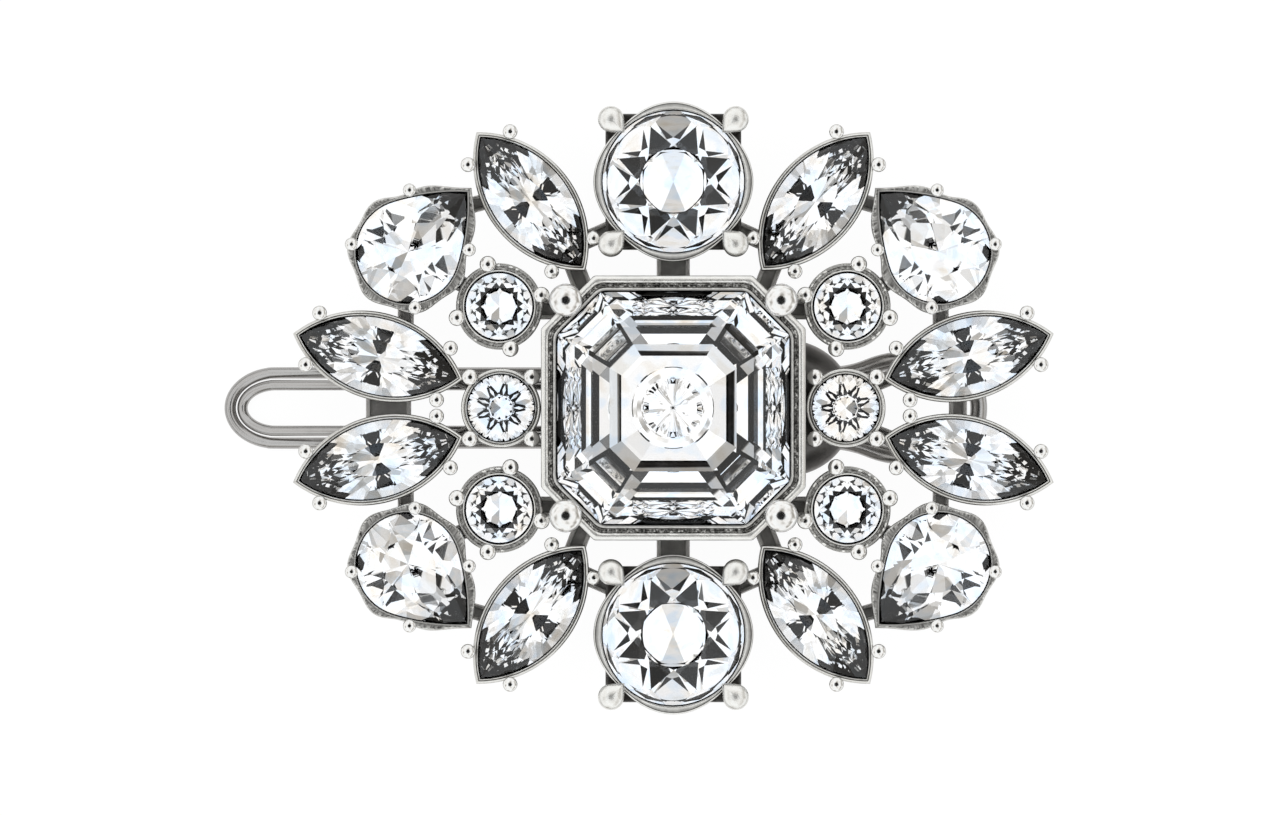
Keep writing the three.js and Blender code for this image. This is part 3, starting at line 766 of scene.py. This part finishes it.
def medallion(top):
    """A plain rosette in a ring, on the flat back of the centre stone."""
    shell = Shell()
    profile = [
        (0.4, 0.2),
        (1.2, 0.1),
        (2.4, 0.22),
        (3.0, 0.1),
        (3.15, 0.3),
        (3.6, 0.42),
        (4.0, 0.3),
        (4.1, 0.0),
    ]
    rings, petal_height, petals = [], 0.22, 8
    for radius, height in profile:
        swell = petal_height if 0.5 < radius < 2.9 else 0.0
        points = []
        for p in arc(0, 0, radius, 0, 2 * math.pi, 96)[:-1]:
            petal = swell * abs(math.cos(petals / 2 * math.atan2(p.y, p.x)))
            points.append(Vector((p.x, p.y, height + petal)))
        rings.append(shell.ring(points))
    shell.solid(rings[::-1])
    node = "centre_stone"
    matrix = placement(node, octagon_outline(0)) @ Matrix.Translation((0, 0, top))
    piece("centre_rosette", shell.bm, [FOIL], [node], matrix=matrix, smooth=30)


def square_base(shell, rim, bottom):
    """The blackened block round a large stone, hollowed out for the stone's back."""
    half, count = SQUARE_BASE["half"], 240
    corner = rounded([Vector((sx * half, sy * half)) for sx, sy in CORNERS], SQUARE_BASE["corner"])
    start = max(range(len(corner)), key=lambda i: corner[i].x + corner[i].y)
    base = resample(corner[start:] + corner[:start], count)
    rings = []
    for share, height, oxide_and_shade in ((0.97, bottom, 0.5), (1.0, bottom + 0.3, 0.6), (1.0, rim - 1.5, 0.8)):
        rings.append(shell.ring(lift([share * p for p in base], height), oxide_and_shade))
    for share, height, grain, oxide_and_shade in ((0.985, rim - 1.25, 0.06, 0.9), (0.95, rim - 1.2, 0.08, 1.0)):
        rings.append(shell.ring(grain_ring([share * p for p in base], height, grain), oxide_and_shade))
    for radius, height in ((6.1, rim - 1.3), (1.0, bottom + CUP_FLOOR)):
        funnel = resample(arc(0, 0, radius, math.pi / 4, 2.25 * math.pi, count)[:-1], count)
        rings.append(shell.ring(lift(funnel, height), 1.0))
    shell.solid(rings, (0.5, 1.0))


def large_cup(shell, rim, bottom):
    """A thin scalloped collar on a square base, with four claws and a round boss below."""
    square_base(shell, rim, bottom)
    profile = [
        # The wall down into the gap round the stone is painted black, as shade in the gap.
        (STONE_GAP, -0.5, 1.0, 0),
        (STONE_GAP, -0.12, 1.0, 0),
        (STONE_GAP + 0.06, -0.03, 0.1, 0),
        (STONE_GAP + 0.16, -0.02, 0.0, 0),
        (STONE_GAP + 0.2, -0.16, 0.7, 0.01),
        (0.31, -0.5, 0.95, 0.04),
        (0.32, -0.55, 0.9, 0.04),
        (0.36, -0.4, 0.1, 0.0),
        (0.44, -0.42, 0.0, 0),
        # The outside darkens towards the foot: painted shade below the rim.
        (0.5, -0.55, 0.2, 0),
        (0.45, -1.6, 0.7, 0),
    ]
    outline = lobed(round_outline(LARGE_RADIUS), 0.42, 4)
    bezel(shell, outline, profile, rim, bottom + CUP_FLOOR, bottom + 2 * CUP_FLOOR, 400)
    for at in orbit(LARGE_RADIUS + SHIELD["out"], 45):
        shield_prong(shell, at, SHIELD["radius"], rim, bottom)
    top = bottom + BOSS["height"]
    boss = [(0, bottom), (BOSS["radius"], bottom), (BOSS["radius"], top), (0, top)]
    lathe(shell, boss, Vector(), 72, 0.4)


def corner_round_cup(shell, rim, bottom):
    outline = round_outline(SMALL_RADIUS)
    bezel(shell, outline, banded_profile(0.9), rim, bottom + CUP_FLOOR, bottom, 220)
    for at in orbit(SMALL_RADIUS + SMALL_BEAD_OUT, 75):
        ball_prong(shell, at, BEAD["small_round"], rim, bottom)


def side_round_cup(shell, rim, bottom):
    outline = round_outline(SMALL_RADIUS)
    bezel(shell, outline, thin_profile(0.57), rim, bottom + CUP_FLOOR, bottom, 200)
    for at in orbit(SMALL_RADIUS + SMALL_BEAD_OUT, 45):
        ball_prong(shell, at, BEAD["small_round"], rim, bottom)


def marquise_cup(shell, rim, bottom):
    bezel(shell, marquise_outline, thin_profile(0.5), rim, bottom + CUP_FLOOR, bottom, 240)
    for at in marquise_beads():
        ball_prong(shell, at, BEAD["marquise"], rim, bottom)


def pear_cup(shell, rim, bottom):
    """A thin collar on a scalloped gallery."""
    outline = lobed(pear_outline, 0.42, 7, 0.4, 0.25)
    profile = [
        # The wall down into the gap round the stone is painted black, as shade in the gap.
        (STONE_GAP, -0.5, 1.0, 0),
        (STONE_GAP, -0.12, 1.0, 0),
        (STONE_GAP + 0.06, -0.03, 0.2, 0),
        (STONE_GAP + 0.15, -0.03, 0.1, 0),
        (0.29, -0.2, 0.7, 0.02),
        (0.31, -0.3, 0.6, 0.06),
        (0.4, -0.32, 0.5, 0.07),
        (0.5, -0.36, 0.1, 0.02),
        # The outside darkens towards the foot: painted shade below the rim.
        (0.58, -0.5, 0.2, 0),
        (0.56, -1.6, 0.7, 0),
    ]
    bezel(shell, outline, profile, rim, bottom + CUP_FLOOR, bottom, 320)
    for at in pear_beads():
        ball_prong(shell, at, BEAD["pear"], rim, bottom)


# ---------------- all the settings
QUARTER_TURNS = {"inner_marquise": 51.9, "side_marquise": 15.05, "pear": 135, "corner_round": 0}


def setting_kinds():
    """For each kind: its outline, what cuts its stone from a new block, and what builds its cup."""
    large, small = round_outline(LARGE_RADIUS), round_outline(SMALL_RADIUS)
    lens = resample(marquise_outline(0), 64)
    drop = resample(pear_outline(0), 64)
    circle, small_circle = resample(large(0), 64), resample(small(0), 48)
    octagon_cut = partial(step_cut, octagon_outline(0), CENTRE_CROWN, CENTRE_PAVILION)
    marquise_cut = partial(brilliant, lens, MARQUISE_MAINS, MARQUISE_CUT)
    pear_cut = partial(brilliant, drop, PEAR_MAINS, PEAR_CUT)
    large_cut = partial(brilliant, circle, around(8), LARGE_CUT)
    corner_cut = partial(brilliant, small_circle, around(8, 22.5), SMALL_CUT)
    side_cut = partial(brilliant, small_circle, around(9), SUNBURST_CUT)
    return {
        "centre": (octagon_outline, octagon_cut, centre_cup),
        "large_round": (large, large_cut, large_cup),
        "inner_marquise": (marquise_outline, marquise_cut, marquise_cup),
        "side_marquise": (marquise_outline, marquise_cut, marquise_cup),
        "pear": (pear_outline, pear_cut, pear_cup),
        "corner_round": (small, corner_cut, corner_round_cup),
        "side_round": (small, side_cut, side_round_cup),
    }


def placed_settings():
    """Every setting: its kind, the end of its name, and its sides and turn in the clip."""
    settings = [("centre", "", (1, 1, 0))]
    settings += [("large_round", "_top", (1, 1, 0)), ("large_round", "_bottom", (1, -1, 0))]
    for (sx, sy), corner in QUARTERS.items():
        for kind, degrees in QUARTER_TURNS.items():
            settings.append((kind, "_" + corner, (sx, sy, degrees)))
    settings += [("side_round", "_left", (-1, 1, 0)), ("side_round", "_right", (1, 1, 0))]
    return settings


def add_setting(kind, suffix, place):
    """A stone and its cup, each built in its own place and then moved to the clip's."""
    outline, cut_block, build_cup = KINDS[kind]
    stone_node, cup_node = kind + "_stone" + suffix, kind + "_setting" + suffix
    top = edge_height(kind, stone_node)
    matrix = placement(stone_node, outline(0), *place)
    stone(stone_node, cut_block(), matrix @ Matrix.Translation((0, 0, top)) @ slight_tilt())
    shell = Shell()
    build_cup(shell, top + RIM_LIP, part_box(cup_node)[0].z / MM)
    name = cup_node.replace("setting", "mount")
    piece(name, shell.bm, [SILVER, BEAD_SILVER], [cup_node], matrix=matrix, smooth=38)


KINDS = setting_kinds()
centre, *others = placed_settings()
add_setting(*centre)
medallion(edge_height("centre", "centre_stone") + CENTRE_PAVILION[-1][1] + ROSETTE_LIFT)
for setting in others:
    add_setting(*setting)


# ---------------- cast frame
def middle_of(node):
    low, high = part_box(node)
    return (low + high) / (2 * MM)


def anchor(kind, sx, sy):
    """The middle of a setting in one quarter, or a corner of the centre cup."""
    if kind == "bezel_corner":
        middle = middle_of("centre_stone")
        return Vector((middle.x + sx * BEZEL_HALF, middle.y + sy * BEZEL_HALF))
    pairs = {"large_round": "top" if sy > 0 else "bottom", "side_round": "right" if sx > 0 else "left"}
    return middle_of(kind + "_stone_" + pairs.get(kind, QUARTERS[(sx, sy)]))


def quarter_point(kind, dx, dy, sx, sy):
    """A point off an anchor, given for the upper right quarter."""
    base = anchor(kind, sx, sy)
    return Vector((base.x + sx * dx, base.y + sy * dy))


# Each strut runs from one point to another, and has a width.
CROSS_STRUTS = [
    (("bezel_corner", -5.1, -3.6), ("inner_marquise", -3.6, -4.6), 2.0),
    (("bezel_corner", -3.1, -3.3), ("corner_round", -2.8, -0.3), 2.0),
    (("large_round", 6.0, -4.6), ("inner_marquise", -3.7, -4.6), 1.8),
    (("inner_marquise", 3.3, 0.4), ("pear", -3.6, 3.6), 1.6),
    (("corner_round", 2.2, 1.4), ("pear", -2.8, -2.4), 1.6),
    (("pear", 0.6, -5.4), ("side_marquise", -2.7, 2.4), 1.6),
    (("side_round", 2.4, 2.2), ("side_marquise", -6.3, -1.5), 1.6),
]
CENTRE_STRUT = {"inner": 11.0, "outer": 6.0, "width": 3.3}  # distances from the two stones' middles
END_STRUT_WIDTHS = {"left": 4.5, "right": 1.8}
STRUT_STEP = 0.35
SEAT_INSET = {
    "centre": 1.1,
    "large_round": 0.03,
    "corner_round": 0.5,
    "side_round": 0.15,
    "inner_marquise": 0.08,
    "side_marquise": 0.08,
    "pear": 0.13,
}
BOSS_HOLE = 4.6  # radius of the hole that a large cup's boss goes through


def bar(shell, start, end, width, low, top):
    """A strut with a raised edge along each side and a dark trough between them."""
    half, edge = width / 2, min(0.5, 0.26 * width)
    section = [
        (half - 0.1, low, 0.6),
        (half, low + 0.1, 0.6),
        (half, top - 0.06, 0.4),
        (half - 0.1, top + 0.08, 0.0),
        (half - edge + 0.12, top + 0.06, 0.0),
        (half - edge, top - 0.08, 0.45),
        (half - edge - 0.1, top - 0.12, 0.4),
    ]
    section += [(-y, z, oxide_and_shade) for y, z, oxide_and_shade in reversed(section)]
    direction = end - start
    steps = max(2, int(direction.length / STRUT_STEP))
    across = Vector((-direction.y, direction.x)).normalized()
    columns = []
    for k in range(steps + 1):
        middle = start.lerp(end, k / steps)
        ring = []
        for y, z, oxide_and_shade in section:
            p = middle + across * y
            rough = 0.02 if z > low + 0.5 else 0.0
            (vert,) = shell.ring([Vector((p.x, p.y, z + rng.uniform(-rough, rough)))], oxide_and_shade)
            ring.append(vert)
        columns.append(ring)
    shell.solid(columns, (0.6, 0.6))


def seat(shell, outline, matrix, low, top, inset, hole=None):
    """The plate of the frame under one cup."""
    rows = [(inset - 0.15, low), (inset, low + 0.12), (inset, top - 0.1), (inset - 0.15, top)]
    rings = []
    for offset, z in rows:
        points = resample(outline(offset), 96)
        rings.append(shell.ring([matrix @ Vector((p.x, p.y, z)) for p in points], 0.5))
    if hole is None:
        shell.solid(rings, (0.5, 0.5))
        return
    for z in (top, low):
        points = arc(0, 0, hole, 0, 2 * math.pi, 96)[:-1]
        rings.append(shell.ring([matrix @ Vector((p.x, p.y, z)) for p in points], 0.8))
    shell.loop(rings)


def add_struts(shell, low, high):
    for sx, sy in QUARTERS:
        for start, end, width in CROSS_STRUTS:
            bar(shell, quarter_point(*start, sx, sy), quarter_point(*end, sx, sy), width, low, high)
    centre = middle_of("centre_stone")
    for name, sy in (("top", 1), ("bottom", -1)):
        inner = Vector((centre.x, centre.y + sy * CENTRE_STRUT["inner"]))
        outer = middle_of("large_round_stone_" + name).y - sy * CENTRE_STRUT["outer"]
        bar(shell, inner, Vector((centre.x, outer)), CENTRE_STRUT["width"], low, high)
    for name, sx in (("left", -1), ("right", 1)):
        upper = middle_of("side_marquise_stone_top_" + name)
        lower = middle_of("side_marquise_stone_bottom_" + name)
        ends = [Vector((upper.x - sx, y)) for y in (lower.y + 2, upper.y - 2)]
        bar(shell, *ends, END_STRUT_WIDTHS[name], low, high)


def add_seats(shell, low, high):
    for kind, suffix, place in placed_settings():
        outline = KINDS[kind][0]
        matrix = placement(kind + "_stone" + suffix, outline(0), *place)
        hole = BOSS_HOLE if kind == "large_round" else None
        seat(shell, outline, matrix, low, high, SEAT_INSET[kind], hole)


def add_frame():
    shell = Shell()
    low, high = (corner.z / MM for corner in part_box("frame"))
    add_struts(shell, low, high)
    add_seats(shell, low, high)
    piece("frame_casting", shell.bm, [OXIDISED], ["frame"], smooth=35)


add_frame()


# ---------------- wire clip
PIVOT = Vector(frame["joints"][0]["pos_m"]) / MM


def tube(shell, path, section_at, closed):
    """Sweep a section along a path; section_at(i) gives half width and half thickness."""
    rings = []
    count = len(path)
    for i, p in enumerate(path):
        before = path[i - 1] if closed or i else path[0]
        after = path[(i + 1) % count] if closed or i < count - 1 else path[-1]
        along = (after - before).normalized()
        side = Vector((0, 0, 1)).cross(along).normalized()
        up = along.cross(side)
        half_width, half_thick = section_at(i)
        ring = []
        for q in arc(0, 0, 1, 0, 2 * math.pi, 20)[:-1]:
            ring.append(p + side * q.x * half_width + up * q.y * half_thick)
        rings.append(shell.ring(ring))
    if closed:
        shell.loop(rings)
    else:
        shell.solid(rings)


def smoothed(points, per_step, closed):
    """A Catmull-Rom curve through the points."""
    result, count = [], len(points)
    spans = count if closed else count - 1
    for i in range(spans):
        if closed:
            a, b, c, d = (points[(i + k) % count] for k in (-1, 0, 1, 2))
        else:
            a, b = points[max(i - 1, 0)], points[i]
            c, d = points[i + 1], points[min(i + 2, count - 1)]
        for k in range(per_step):
            t = k / per_step
            curve = 2 * b + (c - a) * t + (2 * a - 5 * b + 4 * c - d) * t ** 2
            curve += (3 * b - a - 3 * c + d) * t ** 3
            result.append(0.5 * curve)
    return result if closed else result + [points[-1]]


def jaw_height(x):
    """Height of the moving jaw's wire, from the distance past the pivot."""
    level = PIVOT.z - YOKE_DROP
    if x <= -LEVEL_REACH:
        share = (x + NOSE_REACH) / (NOSE_REACH - LEVEL_REACH)
        nose = JAW_WIRE / 2
        return nose + (level - nose) * share + JAW_ARCH * 4 * share * (1 - share)
    share = clamp((x - LEVEL_REACH) / (THUMB_REACH - LEVEL_REACH))
    return level + (THUMB_BAND["thick"] / 2 - level) * share ** 1.5


def nose_arc(tip, length, half, steps=8):
    """Half of a rounded nose, from just off its tip to the start of the leg."""
    points = []
    for i in range(1, steps + 1):
        angle = math.pi / 2 * i / steps
        points.append((tip + length * (1 - math.cos(angle)), half * math.sin(angle)))
    return points


def leg_line(start, end, half, steps):
    return [(start + (end - start) * i / steps, half) for i in range(1, steps + 1)]


def moving_jaw():
    side = nose_arc(-NOSE_REACH, NOSE_LENGTH, JAW_LEG)
    side += leg_line(-NOSE_REACH + NOSE_LENGTH, LEG_END, JAW_LEG, 11)
    side += [(x, JAW_LEG + out) for x, out in THUMB_FLARE]
    bend = THUMB_REACH - THUMB_HALF
    for i in range(9):
        angle = math.pi / 2 * i / 8
        side.append((bend + THUMB_HALF * math.sin(angle), THUMB_HALF * math.cos(angle)))
    points = [(-NOSE_REACH, 0.0)] + side + [(x, -y) for x, y in reversed(side[:-1])]
    path = [Vector((PIVOT.x + x, PIVOT.y + y, jaw_height(x))) for x, y in points]
    path = smoothed(path, 6, True)

    def section_at(i):
        share = clamp((path[i].x - PIVOT.x - THUMB_BAND["start"]) / THUMB_BAND["blend"])
        share = share * share * (3 - 2 * share)
        wire = JAW_WIRE / 2
        width = wire + (THUMB_BAND["width"] / 2 - wire) * share
        return width, wire + (THUMB_BAND["thick"] / 2 - wire) * share

    shell = Shell()
    tube(shell, path, section_at, True)
    piece("jaw_wire", shell.bm, [WIRE], ["moving_jaw"], body="jaw", smooth=60)


def fixed_jaw():
    leg = JAW_LEG - (JAW_WIRE + FIXED_WIRE) / 2 - NEST_GAP
    nose = -NOSE_REACH + (JAW_WIRE + FIXED_WIRE) / 2 + NEST_GAP
    bend = NOSE_LENGTH - (JAW_LEG - leg)
    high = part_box("fixed_jaw")[1].x / MM - PIVOT.x
    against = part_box("frame")[0].z / MM - SOLDER_GAP - FIXED_WIRE / 2

    def height(x):
        share = clamp((x - nose) / (high - FIXED_SOLDER - nose))
        return JAW_WIRE / 2 + (against - JAW_WIRE / 2) * math.sin(share * math.pi / 2)

    side = nose_arc(nose, bend, leg) + leg_line(nose + bend, high, leg, 13)
    points = [(x, -y) for x, y in reversed(side)] + [(nose, 0.0)] + side
    path = smoothed([Vector((PIVOT.x + x, PIVOT.y + y, height(x))) for x, y in points], 6, False)
    last = len(path) - 1

    def section_at(i):
        from_end = min(i, last - i)
        taper = (0.55, 0.85, 0.97)[from_end] if from_end < 3 else 1.0
        return FIXED_WIRE / 2 * taper, FIXED_WIRE / 2 * taper

    shell = Shell()
    tube(shell, path, section_at, False)
    piece("fixed_wire", shell.bm, [WIRE], ["fixed_jaw"], smooth=60)


moving_jaw()
fixed_jaw()


# ---------------- pivot behind the frame
PLATE = {"radius": 6.8, "flat": 4.6, "thick": 1.0, "drop": 1.0}
EAR = {"half": 1.35, "thick": 0.8, "gap": 0.5}
PIN = {"radius": 0.55, "head": 1.0, "head_thick": 0.4}
YOKE = {"length": 5.0, "floor": 0.6, "wall": 0.8, "clear": 0.075, "round": 1.25}
SPRING = {"wire": 0.5, "coil": 1.15, "turns": 5, "pitch": 0.6, "leg": 4.2}
EAR_IN = JAW_LEG + JAW_WIRE / 2 + EAR["gap"]
EAR_OUT = EAR_IN + EAR["thick"]
YOKE_HALF = JAW_LEG - JAW_WIRE / 2 - YOKE["clear"]


def slab(shell, outline, low, high, place):
    """A prism with bevelled edges; place turns (u, v, height) into a point."""
    bevel, oxide_and_shade = 0.12, 0.3
    middle = sum(outline, Vector((0, 0))) / len(outline)
    rings = []
    for height, inset in ((low, bevel), (low + bevel, 0.0), (high - bevel, 0.0), (high, bevel)):
        ring = []
        for p in outline:
            q = p + (middle - p).normalized() * inset
            ring.append(place(q.x, q.y, height))
        rings.append(shell.ring(ring, oxide_and_shade))
    shell.solid(rings, (oxide_and_shade, oxide_and_shade))


def sideways(u, v, height):
    """For an outline in the X and Z directions from the pivot, drawn out along Y."""
    return Vector((PIVOT.x + u, PIVOT.y + height, PIVOT.z + v))


def flatways(u, v, height):
    """For an outline in the X and Y directions from the pivot, drawn out along Z."""
    return Vector((PIVOT.x + u, PIVOT.y + v, PIVOT.z + height))


def lug(half, end):
    """A tab with a round end about the pivot, reaching up or down to its root."""
    sign = 1 if end > 0 else -1
    start = math.pi if end > 0 else 0.0
    root = [Vector((sign * half, end)), Vector((-sign * half, end))]
    return arc(0, 0, half, start, start + math.pi, 24) + root


def pivot_plate():
    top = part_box("pivot_plate")[1].z / MM - PIVOT.z
    shell = Shell()
    flat, radius, thick, drop = (PLATE[key] for key in ("flat", "radius", "thick", "drop"))
    dome = []
    for i in range(9):
        share = i / 8
        dome.append((flat + (radius - 0.12 - flat) * share, top - drop * share ** 1.7))
    under = [(r, z - thick + 0.35 * (r - flat) / (radius - flat)) for r, z in reversed(dome)]
    lip = (radius, (dome[-1][1] + under[0][1]) / 2)
    upper = [(0, top), (flat / 2, top)] + dome
    lower = under + [(flat / 2, top - thick), (0, top - thick)]
    lathe(shell, upper + [lip] + lower, PIVOT, 96, 0.15)
    for side in (-1, 1):
        near, far = sorted((side * EAR_IN, side * EAR_OUT))
        slab(shell, lug(EAR["half"], top - thick + 0.3), near, far, sideways)
    piece("clip_plate", shell.bm, [SATIN], ["pivot_plate"], smooth=40)


def pivot_pin():
    end = EAR_OUT + 0.05
    tip = end + PIN["head_thick"]
    half = [(PIN["radius"], end), (PIN["head"] - 0.05, end), (PIN["head"], end + 0.1)]
    half += [(0.92 * PIN["head"], tip - 0.08), (0.6 * PIN["head"], tip), (0, tip)]
    profile = [(r, -y) for r, y in reversed(half)] + half
    shell = Shell()
    lathe(shell, profile, PIVOT, 40, 0.1, along="Y")
    piece("hinge_pin", shell.bm, [WIRE], ["pivot_pin"], smooth=40)


def rivets():
    shank = 0.7
    for name in ("rivet_left", "rivet_right"):
        low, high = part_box(name)
        middle = (low + high) / (2 * MM)
        bottom, top, head = low.z / MM, high.z / MM, (high.x - low.x) / (2 * MM)
        profile = [(0, bottom - 0.1), (0.5 * head, bottom - 0.06), (0.85 * head, bottom + 0.06)]
        profile += [(head, bottom + 0.22), (head, bottom + 0.38), (shank, bottom + 0.4)]
        profile += [(shank, top - 0.1), (shank - 0.1, top), (0, top)]
        shell = Shell()
        lathe(shell, profile, Vector((middle.x, middle.y, 0)), 32, 0.1)
        piece(name + "_head", shell.bm, [WIRE], [name], smooth=40)


def jaw_yoke():
    shell = Shell()
    half, floor = YOKE["length"] / 2, YOKE["floor"] / 2
    corners = [Vector((sx * half, sy * YOKE_HALF)) for sx, sy in CORNERS]
    slab(shell, rounded(corners, 0.5), -YOKE_DROP - floor, -YOKE_DROP + floor, flatways)
    for side in (-1, 1):
        near, far = sorted((side * (YOKE_HALF - YOKE["wall"]), side * YOKE_HALF))
        slab(shell, lug(YOKE["round"], -YOKE_DROP), near, far, sideways)
    piece("jaw_channel", shell.bm, [SILVER], ["jaw_yoke"], body="jaw", smooth=40)


def torsion_spring():
    wire, coil, steps = SPRING["wire"], SPRING["coil"], 24
    half = SPRING["turns"] * SPRING["pitch"] / 2
    total = int((SPRING["turns"] + 0.5) * steps)
    points = [Vector((SPRING["leg"], half, coil)), Vector((SPRING["leg"] / 2, half, coil))]
    for i in range(total + 1):
        angle = math.pi / 2 + i / steps * 2 * math.pi
        across = half - 2 * half * i / total
        points.append(Vector((coil * math.cos(angle), across, coil * math.sin(angle))))
    on_yoke = -YOKE_DROP + YOKE["floor"] / 2 + wire / 2 + SOLDER_GAP
    points.append(Vector((YOKE["length"] / 2, -half, on_yoke)))
    path = [PIVOT + p for p in smoothed(points, 2, False)]
    shell = Shell()
    tube(shell, path, lambda i: (wire / 2, wire / 2), False)
    inner = Vector((0, half - wire, 0))
    ends = (PIVOT + inner, PIVOT - inner)
    piece("spring_coil", shell.bm, [WIRE], ["torsion_spring"], smooth=60, twist=ends)


pivot_plate()
pivot_pin()
rivets()
jaw_yoke()
torsion_spring()


# ---------------- camera, light and floor
def add_camera():
    data = bpy.data.cameras.new("camera")
    camera = bpy.data.objects.new("camera", data)
    bpy.context.scene.collection.objects.link(camera)
    bpy.context.scene.camera = camera
    camera.location = (0, 0, CAMERA_HEIGHT * MM)
    data.sensor_width = SENSOR_WIDTH
    data.lens = SENSOR_WIDTH * CAMERA_HEIGHT / VIEW_WIDTH
    data.clip_start = 0.01
    data.clip_end = 10


def add_floor():
    bm = bmesh.new()
    bmesh.ops.create_grid(bm, x_segments=8, y_segments=8, size=FLOOR["half"] * MM)
    mesh = bpy.data.meshes.new("floor")
    bm.to_mesh(mesh)
    bm.free()
    floor = bpy.data.objects.new("floor", mesh)
    bpy.context.scene.collection.objects.link(floor)
    floor.location.z = cad_bounds[0][2] - FLOOR["gap"] * MM
    material, _, shader = new_material("white_floor")
    shader.inputs["Base Color"].default_value = (0.08, 0.08, 0.08, 1)
    shader.inputs["Roughness"].default_value = 0.9
    shader.inputs["Specular IOR Level"].default_value = 0.0
    shader.inputs["Emission Color"].default_value = (1, 1, 1, 1)
    shader.inputs["Emission Strength"].default_value = 0.95
    mesh.materials.append(material)


def add_world():
    """A white tent with a dark hole overhead, where the lens looks in, and a dim horizon."""
    world = bpy.data.worlds.new("tent")
    bpy.context.scene.world = world
    world.use_nodes = True
    tree = world.node_tree
    tree.nodes.clear()
    coords = tree.nodes.new("ShaderNodeTexCoord")
    split = tree.nodes.new("ShaderNodeSeparateXYZ")
    tree.links.new(coords.outputs["Generated"], split.inputs[0])
    up = split.outputs["Z"]
    zenith = add_node(tree, "ShaderNodeMapRange", interpolation_type="SMOOTHSTEP")
    tree.links.new(up, zenith.inputs["Value"])
    hole_edge, hole_core, hole_light = 13, 11, 0.012
    for socket, value in (
        ("From Min", math.cos(math.radians(hole_edge))),
        ("From Max", math.cos(math.radians(hole_core))),
        ("To Min", 1.0),
        ("To Max", hole_light),
    ):
        zenith.inputs[socket].default_value = value
    horizon = ramp(tree, up, [(0.0, grey(0.5)), (0.05, grey(0.4)), (0.25, grey(0.8)), (0.45, grey(1.0))])
    patches = add_node(tree, "ShaderNodeTexNoise", Scale=2.3, Detail=1.0)
    tree.links.new(coords.outputs["Generated"], patches.inputs["Vector"])
    stops = [
        (0.36, (0.36, 0.345, 0.32)),
        (0.43, (0.62, 0.61, 0.59)),
        (0.5, grey(0.95)),
        (0.62, (0.95, 0.98, 1.0)),
    ]
    spread = ramp(tree, patches.outputs["Fac"], stops)
    level = math_node(tree, "MULTIPLY", zenith.outputs[0], horizon)
    mix = add_node(tree, "ShaderNodeVectorMath", operation="SCALE")
    tree.links.new(spread, mix.inputs[0])
    tree.links.new(level, mix.inputs["Scale"])
    background = add_node(tree, "ShaderNodeBackground", Strength=1.35)
    tree.links.new(mix.outputs[0], background.inputs["Color"])
    output = tree.nodes.new("ShaderNodeOutputWorld")
    tree.links.new(background.outputs[0], output.inputs[0])


add_camera()
add_floor()
add_world()
bpy.context.scene.view_settings.view_transform = "Standard"
